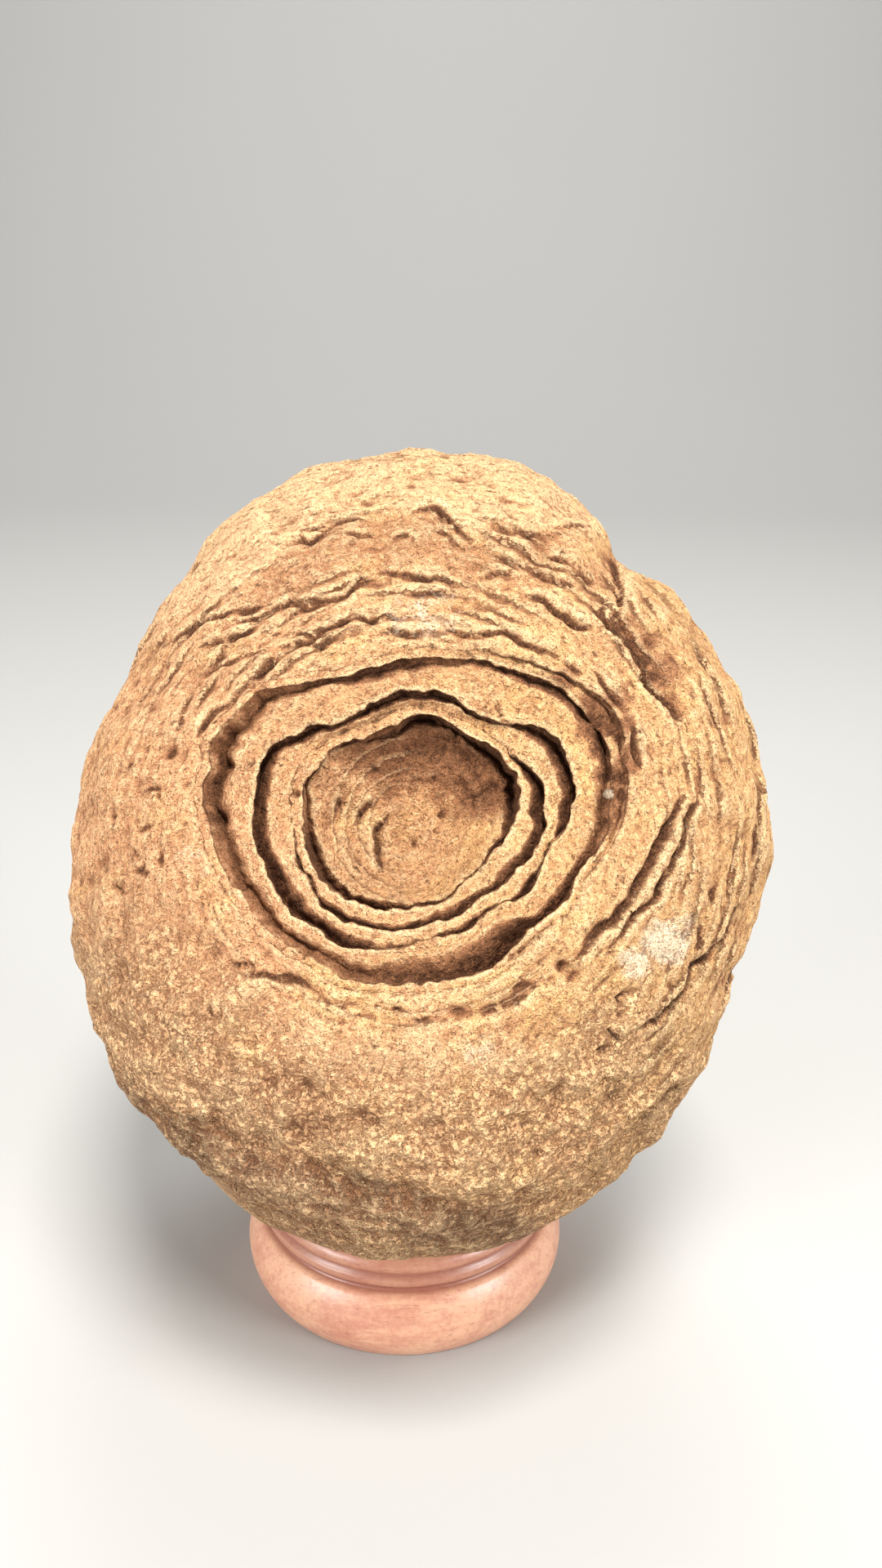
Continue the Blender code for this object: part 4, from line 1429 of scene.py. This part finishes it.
    def _back_ring(self, share: float) -> Array:
        """Return one contour between the widest outline (share 0) and the back (share 1).

        Args:
            share: its place.

        Returns:
            The contour.
        """
        middle = np.array(self.bowl_centre) + self.outward * self.outline_level
        depth = np.array(self.back_pole) - middle
        start = self._front_ring(1.0)
        shifts = [round(step * self.segments / 360.0) for step in (-30, -15, 15, 30)]
        evened = sum(np.roll(start, shift, axis=0) for shift in shifts) / len(shifts)
        evened = middle + (evened - middle) * self.evened_growth
        across = start + (evened - start) * float(smooth_step(0.0, 0.6, share)) - middle
        turn = share * math.pi / 2.0
        swell = 1.0 + self.back_swell * math.sin(2.0 * turn)
        return (
            middle
            + across * math.cos(turn) ** self.back_fullness * swell
            + depth * math.sin(turn) ** self.back_fullness * swell
            + np.array(self.back_sway) * math.sin(2.0 * turn)
        )

    def skin(self) -> tuple[Array, Array, Array]:
        """Lay every contour, from the cup's middle to the back.

        Returns:
            The points as contours by meridians by three; for each contour its place, under
            0 in the bowl, 0 to 1 from the rim to the outline and 1 to 2 behind it; and how
            dark the painted shade is where a point lies deep between the shells.
        """
        bowl = self._bowl_rings()
        front = [step / self.front_rings for step in range(self.front_rings + 1)]
        back = [step / self.back_rings for step in range(1, self.back_rings)]
        rings = [contour for contour, _ in bowl]
        rings += [self._front_ring(share) for share in front]
        rings += [self._back_ring(share) for share in back]
        places = [-1.0] * len(bowl) + front + [1.0 + share for share in back]
        dark = [shade for _, shade in bowl]
        dark += [np.zeros(self.segments)] * (len(rings) - len(dark))
        return np.array(rings), np.array(places), np.array(dark)

    # Relief.

    def _out(self, points: Array) -> Array:
        """Return the directions from the stone's core to its points."""
        return unit(points - np.array(self.core_centre))

    def _with_lumps(self, points: Array) -> Array:
        """Push the crust out by its broad lumps, which the solid has too."""
        return points + self._out(points) * rough(points, *LUMPS)[..., None]

    def _seated(self, points: Array) -> Array:
        """Draw the underside onto the dome that rests on the ring's lip.

        Args:
            points: the skin's points.

        Returns:
            The moved points.
        """
        height = math.sqrt(self.seat_dome_radius**2 - self.seat_radius**2)
        centre = np.array((0.0, 0.0, self.ring_height + self.seat_gap + height))
        reach = points - centre
        length = np.linalg.norm(reach, axis=-1)
        angle = np.arccos(np.clip(-reach[..., 2] / length, -1.0, 1.0))
        share = 1.0 - smooth_step(*self.seat_angles, angle)
        pull = (self.seat_dome_radius - length) * share / length
        return points + reach * pull[..., None]

    def flow(self, points: Array) -> Array:
        """Return places for noise that is stretched along the layers, in millimetres.

        Args:
            points: the skin's points.

        Returns:
            The places.
        """
        ray = self._out(points)
        turn = np.arccos(np.clip(ray @ self.outward, -1.0, 1.0))
        return np.stack((14.0 * (ray @ self.right), 14.0 * (ray @ self.up), 50.0 * turn), axis=-1)

    def _wear(self, clock: Array, reach: Array, facing: Array) -> tuple[Array, dict[str, Array]]:
        """Carve the strokes and draw the thin shadow and highlight lines of strokes and shell
        edges.

        Args:
            clock: the points' clock angles in radians.
            reach: their reaches.
            facing: 1 where the chart sees them, 0 where it does not.

        Returns:
            The strokes' lift, and for every point its distance to the nearest thin line,
            which side of it the point is on, how strong the line is and how dark the painted
            shade in the strokes' hollows is.
        """
        names = ("line_away", "line_side", "line_strength", "recess")
        lines = {name: np.zeros(reach.shape) for name in names}
        lines["line_away"] += 3.0
        flat = np.stack(on_chart(clock, reach), axis=-1)
        sunk = raised = np.zeros(reach.shape)
        for stroke in STROKES:
            change = stroke.carve(flat, reach, lines) * facing
            sunk, raised = np.minimum(sunk, change), np.maximum(raised, change)
        everywhere = np.s_[:]
        # Each crisp shell edge gets a thin painted shadow under it and a painted highlight on it.
        for shell, (spots, lips) in zip(self.shells, self.lips):
            side = reach - np.interp(clock % math.tau, spots, lips)
            wide = smooth_step(0.15, 0.7, around(shell.bands, clock))
            strength = around(shell.crisp, clock) * wide
            away = np.abs(side)
            draw_line(lines, everywhere, away, away, side, np.clip(strength, 0.0, 1.0))
        lines["line_strength"] *= facing
        lines["recess"] *= facing
        return sunk + raised, lines

    def relief(self, points: Array, places: Array) -> tuple[Array, dict[str, Array]]:
        """Work out the fine relief of the crust.

        Args:
            points: the skin's points, contours by meridians by three.
            places: each contour's place, as skin() gives it.

        Returns:
            The lift of every point in millimetres, and the numbers that draw the thin
            lines: those of _wear(), a running count of the layers, how clearly they show,
            where the crown and the brow below it are, and how crumbly the crust is.
        """
        clock, reach = self.sight.chart(points)
        degrees = np.degrees(clock) % 360.0
        flow = self.flow(points)
        crust = fade(places, -0.5, 0.0)
        facing = 1.0 - fade(places, *OUT_OF_SIGHT)
        seen = crust * facing
        behind = fade(places, 1.0, 1.2)
        lift, lines = self._wear(clock, reach, facing)
        right = bell(degrees, 5.0, 75.0) * smooth_step(34.0, 42.0, reach)
        belly = bell(degrees, 262.0, 70.0) * smooth_step(35.0, 45.0, reach)
        brow = bell(degrees, 95.0, 75.0) * smooth_step(27.0, 31.0, reach)
        sill = bell(degrees, 265.0, 75.0) * (1.0 - smooth_step(30.0, 36.0, reach))
        crown = self._crown(degrees, reach, points) * facing
        layered = seen * np.clip(0.15 + right + brow + 0.6 * sill - 0.3 * belly, 0.0, 1.0)
        layered *= 1.0 - 0.75 * np.clip(crown, 0.0, 1.0)
        layered *= 1.0 - 0.9 * fade(places, 0.80, 0.93)
        arches = np.clip(-crown, 0.0, 1.0) * np.abs(noise_at(points, 5.0, 33.0))
        layer = reach / 2.0 + rough(flow, *LAYER_WAVES) + 1.6 * arches
        rear_layer = flow[..., 2] / 3.6 + rough(flow, *REAR_WAVES)
        cup = (places < 0.0)[:, None] * bell(degrees, 175.0, 100.0)
        cup = cup * smooth_step(4.5, 6.5, reach) * (1.0 - smooth_step(12.0, 14.0, reach))
        gaps = smooth_step(-0.3, 0.3, noise_at(flow, 3.0, 40.0))
        crumbly = bell(degrees, 262.0, 76.0) * smooth_step(32.0, 44.0, reach) * seen
        edge = 1.0 - 0.45 * fade(places, 0.72, 0.95)
        lines["layer"] = np.where(places[:, None] > 1.12, rear_layer, layer)
        lines["layered"] = (layered + 0.6 * fade(places, 1.12, 1.35)) * gaps + 0.75 * cup
        lines["crown"] = crown
        lines["crumbly"] = np.clip(crumbly + 0.6 * behind, 0.0, 1.0)
        lift += crust * (1.0 - 0.4 * belly) * rough(points, *GRANULES)
        lift += 0.8 * layered * gaps * edge * (0.5 - layer % 1.0)
        mottled = np.maximum(seen * belly, 0.85 * behind) * edge
        lift += mottled * self._mottling(points, clock, reach)
        lift += 0.22 * seen * noise_at(flow, 1.1, 27.0)
        return lift, lines

    def _crown(self, degrees: Array, reach: Array, points: Array) -> Array:
        """Return 1 on the pale smooth crown and -1 on the ruddy brow below its edge.

        Args:
            degrees: clock angles.
            reach: reaches on the chart.
            points: the skin's points.

        Returns:
            A number for every point.
        """
        turns, edges = zip(*CROWN_EDGE)
        above = reach - np.interp(degrees, turns, edges) + 0.8 * noise_at(points, 3.0, 61.0)
        brow = smooth_step(-9.0, -6.0, above) * (1.0 - smooth_step(-1.2, 0.0, above))
        crown = smooth_step(-0.4, 1.4, above) * bell(degrees, 92.0, 62.0)
        return crown - brow * bell(degrees, 92.0, 42.0)

    def _mottling(self, points: Array, clock: Array, reach: Array) -> Array:
        """Return the belly's crumbly lumps and its streaks that point away from the bowl.

        Args:
            points: the skin's points.
            clock: their clock angles.
            reach: their reaches.

        Returns:
            Its height at every point.
        """
        streak = np.stack((np.cos(clock) * 60.0, np.sin(clock) * 60.0, reach * 0.45), axis=-1)
        ridges = 0.35 - 2.0 * np.abs(noise_at(points, 8.0, 31.0))
        crumbs = 0.30 - 1.6 * np.abs(noise_at(points, 3.0, 37.0))
        fine = rough(streak, (0.16, 1.8, 17.0)) + rough(points, (0.40, 1.5, 8.0))
        return 0.85 * ridges + 0.50 * crumbs + fine

    def model(self) -> tuple[Array, dict[str, Array]]:
        """Return the finished points and the numbers that the finish reads.

        Returns:
            The points in millimetres, and named values for every point.
        """
        points, places, deep = self.skin()
        points = self._with_lumps(points)
        lift, lines = self.relief(points, places)
        grain = rough(points, *BOWL_GRAIN) * (places < 0.0)[:, None]
        points = (
            points + self._out(points) * lift[..., None] + grid_normals(points) * grain[..., None]
        )
        points = self._seated(points)
        # Painted shade of the shells' hollows and the strokes' hollows together.
        deep = np.maximum(deep, lines.pop("recess"))
        return points, lines | self._numbers(points, places, deep, lines["crumbly"])

    def _numbers(
        self, points: Array, places: Array, deep: Array, crumbly: Array
    ) -> dict[str, Array]:
        """Paint shade into the stone's hollows and underside and highlights on its crests, and
        colour its patches.

        Args:
            points: the finished points.
            places: each contour's place.
            deep: how dark the painted shade is where a point lies in a hollow.
            crumbly: how crumbly the crust is.

        Returns:
            Named values from 0 to 1 for every point.
        """
        clock, reach = self.sight.chart(points)
        degrees = np.degrees(clock) % 360.0
        x, y = on_chart(clock, reach)
        facing = 1.0 - fade(places, *OUT_OF_SIGHT)
        calcite, brown, chips, pale = (
            np.maximum.reduce([patch.cover(x, y) for patch in group]) * facing
            for group in (CALCITE_PATCHES, BROWN_AND_SHADE_PATCHES, CHIPS, HIGHLIGHT_PATCHES)
        )
        # Painted shade in the hollows and the brown patches, with the light chips left out.
        hollow = np.maximum(deep, brown) * (1.0 - chips)
        normals = grid_normals(points)
        near, wide = height_above(points, normals, 2), height_above(points, normals, 6)
        # Painted shade where the surface is sunk below its neighbourhood.
        sunk = np.clip(-near / 0.22, 0.0, 1.0) * 0.5 + np.clip(-wide / 1.2, 0.0, 1.0) * 0.35
        sunk *= np.where(places < 0.0, 0.4, 1.0)[:, None] * (1.0 - 0.5 * crumbly)
        sunk *= 1.0 - 0.5 * fade(places, 0.92, 1.02)
        # Painted highlight where the surface stands proud, partly edge wear.
        proud = np.clip(near / 0.22, 0.0, 1.0) * 0.7 + np.clip(wide / 0.9, 0.0, 1.0) * 0.4
        uneven = noise_at(points, 11.0, 2.0)
        height = points[..., 2]
        # Painted shade on the underside, darker towards the bottom.
        foot = 0.7 * (1.0 - smooth_step(16.0, 29.0, height + 6.0 * uneven))
        turns, reaches = zip(*DUSK_SHORE)
        ragged = 3.0 * uneven + 1.5 * noise_at(points, 3.0, 44.0)
        beyond = reach - np.interp(degrees, turns, reaches) + ragged
        # Painted shade past the line where the belly turns dusky, easing off further out.
        dusky_shade = smooth_step(-1.2, 1.8, beyond) * (1.0 - 0.45 * smooth_step(5.0, 10.0, beyond))
        # Painted contact shadow where the stone meets the ring's lip.
        contact_shadow = 0.9 * (1.0 - smooth_step(20.6, 21.9, height))
        # Painted highlight along the lobe just above the dusky recess.
        shore_highlight = 0.7 * np.exp(-(((beyond + 3.0) / 1.6) ** 2)) * bell(degrees, 234.0, 26.0)
        # hollow is painted shade, partly brown; worn is painted highlight, partly edge wear.
        return {
            "hollow": np.clip(hollow + sunk + contact_shadow, 0.0, 1.0),
            "worn": np.clip(proud - hollow + shore_highlight + pale, 0.0, 1.0),
            "underside": np.maximum(foot, dusky_shade),
            "calcite": calcite,
        }

    def build(self) -> bpy.types.Object:
        """Build the stone and dress it.

        Returns:
            The stone.
        """
        points, numbers = self.model()
        rings = len(points)
        shape = bmesh.new()
        bmesh.ops.create_uvsphere(
            shape, u_segments=self.segments, v_segments=rings + 1, radius=1.0
        )
        flat = points.reshape(-1, 3)
        middles = {0: points[0].mean(axis=0), rings + 1: points[-1].mean(axis=0)}
        order = []
        for vert in shape.verts:
            place = vert.co.normalized()
            ring = round(math.acos(max(-1.0, min(1.0, place.z))) / math.pi * (rings + 1))
            step = round(math.atan2(place.y, place.x) / math.tau * self.segments) % self.segments
            index = min(max((ring - 1) * self.segments + step, 0), len(flat) - 1)
            vert.co = middles.get(ring, flat[index]) * MM
            order.append(index)
        piece = finished(shape, "layered_stone", StoneFinish().material())
        for name, values in numbers.items():
            layer = piece.data.attributes.new(name, "FLOAT", "POINT")
            layer.data.foreach_set("value", values.reshape(-1)[order].astype(np.float32))
        flow = piece.data.attributes.new("flow", "FLOAT_VECTOR", "POINT")
        places = self.flow(points).reshape(-1, 3)[order] * MM
        flow.data.foreach_set("vector", places.reshape(-1).astype(np.float32))
        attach(piece, BODY)
        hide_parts("stromatolite")
        LOG.info("stone: %d contours of %d points", rings, self.segments)
        return piece


# --- The ring stand ------------------------------------------------------------------------


@dataclass
class RingStand:
    """A turned wooden ring: a round bead, a grooved neck and a lip.

    Attributes:
        ring_radius: widest radius of the bead.
        ring_height: height of the lip.
        hole_radius: radius of the hole.
        bead_height: height of the bead's upper edge.
        bead_curve: radius of the bead's round.
        bead_middle: height of the round's middle.
        neck_inset: how far inside the bead the neck lies.
        neck: how far in, how far above the bead and how dark with painted shade each turn is.
        lip_curve: radius of the lip's round.
        seat_radius: radius of the lip on which the stone sits.
        sides: steps round the ring.
    """

    ring_radius: float = 30.0
    ring_height: float = 19.8
    hole_radius: float = 19.5
    bead_height: float = 13.2
    bead_curve: float = 10.6
    bead_middle: float = 6.75
    neck_inset: float = 2.7
    neck: tuple[Station, ...] = (
        (0.35, 0.25, 0.7), (0.9, 0.75, 1.0), (0.55, 1.15, 0.6),
        (0.12, 1.5, 0.62), (-0.02, 2.0, 0.55), (0.0, 2.6, 0.55),
        (0.18, 3.05, 0.62), (0.9, 3.5, 0.9), (0.8, 3.8, 0.7),
    )  # fmt: skip
    lip_curve: float = 2.4
    seat_radius: float = 22.0
    sides: int = 180

    def section(self) -> list[Station]:
        """Return the closed section as (radius, height, painted shade), from the hole's foot.

        Returns:
            The section's points.
        """
        round_out = self.ring_radius - self.bead_curve
        foot = -math.asin(self.bead_middle / self.bead_curve)
        top = math.asin((self.bead_height - self.bead_middle) / self.bead_curve)
        neck = self.ring_radius - self.neck_inset
        hole, seat = self.hole_radius, self.seat_radius
        height, lip = self.ring_height, self.lip_curve
        return [
            (hole + 0.8, 0.0, 0.3),
            *self._arc(round_out, self.bead_middle, self.bead_curve, foot, top, 22, 0.0),
            *((neck - inset, self.bead_height + rise, dark) for inset, rise, dark in self.neck),
            *self._arc(neck - 3.0, height - lip, lip, math.radians(5.0), math.pi / 2.0, 9, 0.52),
            (seat + 1.2, height, 0.35),
            (seat + 0.2, height - 0.1, 0.5),
            (seat - 0.6, height - 0.4, 0.6),
            (hole + 0.3, height - 1.9, 0.3),
            (hole, height - 2.6, 0.3),
            (hole, 0.8, 0.5),
        ]

    def _arc(
        self,
        across: float,
        up: float,
        radius: float,
        first: float,
        last: float,
        steps: int,
        dark: float,
    ) -> list[Station]:
        """Round off a stretch of the section.

        Args:
            across: radius of the ring at the round's middle.
            up: height of its middle.
            radius: radius of the round.
            first: angle where it starts.
            last: angle where it ends.
            steps: how many steps it has.
            dark: how dark its painted shade is.

        Returns:
            The stretch's points.
        """
        angles = [first + (last - first) * step / steps for step in range(steps + 1)]
        return [(across + radius * math.cos(a), up + radius * math.sin(a), dark) for a in angles]

    def build(self) -> bpy.types.Object:
        """Build the ring and dress it.

        Returns:
            The ring.
        """
        section = self.section()
        shape = bmesh.new()
        # Painted shade under the stone and in the grooves, which the wood's finish reads.
        layer = shape.verts.layers.float.new("hollow")
        verts = [shape.verts.new((radius * MM, 0.0, height * MM)) for radius, height, _ in section]
        for vert, (_, _, dark) in zip(verts, section):
            vert[layer] = dark
        edges = [shape.edges.new((verts[i - 1], verts[i])) for i in range(len(verts))]
        bmesh.ops.spin(
            shape,
            geom=verts + edges,
            cent=(0.0, 0.0, 0.0),
            axis=(0.0, 0.0, 1.0),
            angle=math.tau,
            steps=self.sides,
            use_merge=True,
        )
        piece = finished(shape, "turned_ring", WoodFinish().material())
        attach(piece, BODY)
        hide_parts("ring_stand")
        LOG.info("ring stand: %d points in its section", len(section))
        return piece


def finished(
    shape: bmesh.types.BMesh, name: str, material: bpy.types.Material
) -> bpy.types.Object:
    """Turn a bmesh into a smooth-shaded object with one material.

    Args:
        shape: the bmesh, which is used up.
        name: the object's name.
        material: what it is made of.

    Returns:
        The object, in the scene.
    """
    bmesh.ops.recalc_face_normals(shape, faces=shape.faces)
    mesh = bpy.data.meshes.new(name)
    shape.to_mesh(mesh)
    shape.free()
    mesh.shade_smooth()
    mesh.materials.append(material)
    piece = bpy.data.objects.new(name, mesh)
    bpy.context.scene.collection.objects.link(piece)
    return piece


# --- Camera and studio ---------------------------------------------------------------------


@dataclass(frozen=True)
class Camera:
    """A close camera that looks down at the bowl, and the chart that it sees.

    Attributes:
        place: where the lens is, in millimetres.
        pitch: degrees it looks down.
        roll: degrees it is turned clockwise.
        frame_height: height of the picture behind the lens.
        lens: focal length.
        bowl_distance: how far ahead the bowl lies, where the chart is in true millimetres.
        chart_middle: the bowl's middle on the chart, right and up of the camera's aim.
        clip: metres between which things are drawn.
    """

    place: Place = (6.0, -207.7, 176.9)
    pitch: float = 20.86
    roll: float = -0.68
    frame_height: float = 36.0
    lens: float = 1600.0 / 1919.0 * 36.0
    bowl_distance: float = 194.1
    chart_middle: tuple[float, float] = (-4.246, -5.520)
    clip: tuple[float, float] = (0.005, 20.0)

    def directions(self) -> tuple[Vector, Vector, Vector]:
        """Return the camera's right, up and forward directions.

        Returns:
            Three unit vectors.
        """
        pitch, roll = math.radians(self.pitch), math.radians(self.roll)
        forward = Vector((0.0, math.cos(pitch), -math.sin(pitch)))
        level = Vector((1.0, 0.0, 0.0))
        above = level.cross(forward)
        right = level * math.cos(roll) - above * math.sin(roll)
        up = level * math.sin(roll) + above * math.cos(roll)
        return right, up, forward

    def chart(self, points: Array) -> tuple[Array, Array]:
        """Place points on the chart, as seen round the bowl's middle.

        Args:
            points: places in millimetres.

        Returns:
            Their clock angles in radians and their reaches.
        """
        right, up, forward = (np.array(direction) for direction in self.directions())
        ray = points - np.array(self.place)
        ahead = ray @ forward
        across = self.bowl_distance * (ray @ right) / ahead - self.chart_middle[0]
        above = self.bowl_distance * (ray @ up) / ahead - self.chart_middle[1]
        return np.arctan2(above, across), np.hypot(across, above)

    def set_up(self) -> None:
        """Add the camera and make it the scene's."""
        right, up, forward = self.directions()
        data = bpy.data.cameras.new("camera")
        data.sensor_fit = "VERTICAL"
        data.sensor_height = self.frame_height
        data.lens = self.lens
        data.clip_start, data.clip_end = self.clip
        camera = bpy.data.objects.new("camera", data)
        bpy.context.scene.collection.objects.link(camera)
        turned = Matrix((right, up, -forward)).transposed().to_4x4()
        turned.translation = Vector(self.place) * MM
        camera.matrix_world = turned
        bpy.context.scene.camera = camera


@dataclass(frozen=True)
class Lamp:
    """A soft square lamp, measured in metres.

    Attributes:
        name: what it is called.
        place: where it stands.
        aim: what it faces.
        size: its width.
        watts: its power.
        colour: its light.
    """

    name: str
    place: Place
    aim: Place
    size: float
    watts: float
    colour: Colour = (1.0, 1.0, 1.0)

    def set_up(self) -> None:
        """Add the lamp."""
        data = bpy.data.lights.new(self.name, "AREA")
        data.shape = "SQUARE"
        data.size = self.size
        data.energy = self.watts
        data.color = self.colour
        lamp = bpy.data.objects.new(self.name, data)
        bpy.context.scene.collection.objects.link(lamp)
        lamp.location = self.place
        towards = Vector(self.aim) - Vector(self.place)
        lamp.rotation_euler = towards.to_track_quat("-Z", "Y").to_euler()


@dataclass
class Studio:
    """A pale floor that curves up behind the object, and soft lamps, measured in metres.

    Attributes:
        half_width: half the floor's width.
        front: where the floor starts.
        bend_start: where it starts to curve up.
        bend_radius: radius of the curve.
        bend_steps: how many steps the curve has.
        wall_height: height of the wall behind it.
        ambient: strength of the light from all round.
        lamps: the lamps.
    """

    half_width: float = 3.0
    front: float = -1.5
    bend_start: float = 0.9
    bend_radius: float = 1.2
    bend_steps: int = 24
    wall_height: float = 3.0
    ambient: float = 0.30
    lamps: tuple[Lamp, ...] = (
        Lamp("key", (0.08, -0.38, 0.90), (0.0, 0.0, 0.08), 0.26, 12.8, (1.0, 0.98, 0.95)),
        Lamp("left", (-0.75, -0.60, 0.30), (0.0, 0.0, 0.03), 0.40, 10.4),
        Lamp("right", (0.80, -0.50, 0.30), (0.0, 0.0, 0.03), 0.36, 9.3),
        Lamp("crown", (0.0, 0.35, 0.75), (0.0, 0.0, 0.14), 0.30, 1.6),
        Lamp("backdrop", (0.0, 0.80, 1.70), (0.0, 2.1, 0.5), 1.0, 24.0),
    )

    def sweep(self) -> bpy.types.Object:
        """Build the floor and the curve behind it.

        Returns:
            The floor.
        """
        path = [(self.front, 0.0), (self.bend_start, 0.0)]
        for step in range(1, self.bend_steps + 1):
            angle = step / self.bend_steps * math.pi / 2.0
            rise = self.bend_radius * (1.0 - math.cos(angle))
            path.append((self.bend_start + self.bend_radius * math.sin(angle), rise))
        path.append((self.bend_start + self.bend_radius, self.wall_height))
        shape = bmesh.new()
        verts = [shape.verts.new((-self.half_width, y, z)) for y, z in path]
        edges = [shape.edges.new(pair) for pair in zip(verts, verts[1:])]
        made = bmesh.ops.extrude_edge_only(shape, edges=edges)
        moved = [item for item in made["geom"] if isinstance(item, bmesh.types.BMVert)]
        bmesh.ops.translate(shape, verts=moved, vec=(2.0 * self.half_width, 0.0, 0.0))
        return finished(shape, "studio_floor", PaperFinish().material())

    def set_up(self) -> None:
        """Add the floor, the lamps and the soft surrounding light."""
        self.sweep()
        for lamp in self.lamps:
            lamp.set_up()
        world = bpy.data.worlds.new("studio")
        world.use_nodes = True
        background = world.node_tree.nodes["Background"].inputs
        background["Color"].default_value = (1.0, 1.0, 1.0, 1.0)
        background["Strength"].default_value = self.ambient
        scene = bpy.context.scene
        scene.world = world
        scene.view_settings.view_transform = "Standard"
        scene.view_settings.look = "None"
        scene.view_settings.exposure = 0.0


# --- Assembly ------------------------------------------------------------------------------


def main() -> None:
    """Build the two pieces and the studio."""
    logging.basicConfig(level=logging.INFO, format="%(name)s: %(message)s")
    camera = Camera()
    RingStand().build()
    Stromatolite(sight=camera).build()
    Studio().set_up()
    camera.set_up()


if __name__ == "__main__":
    main()
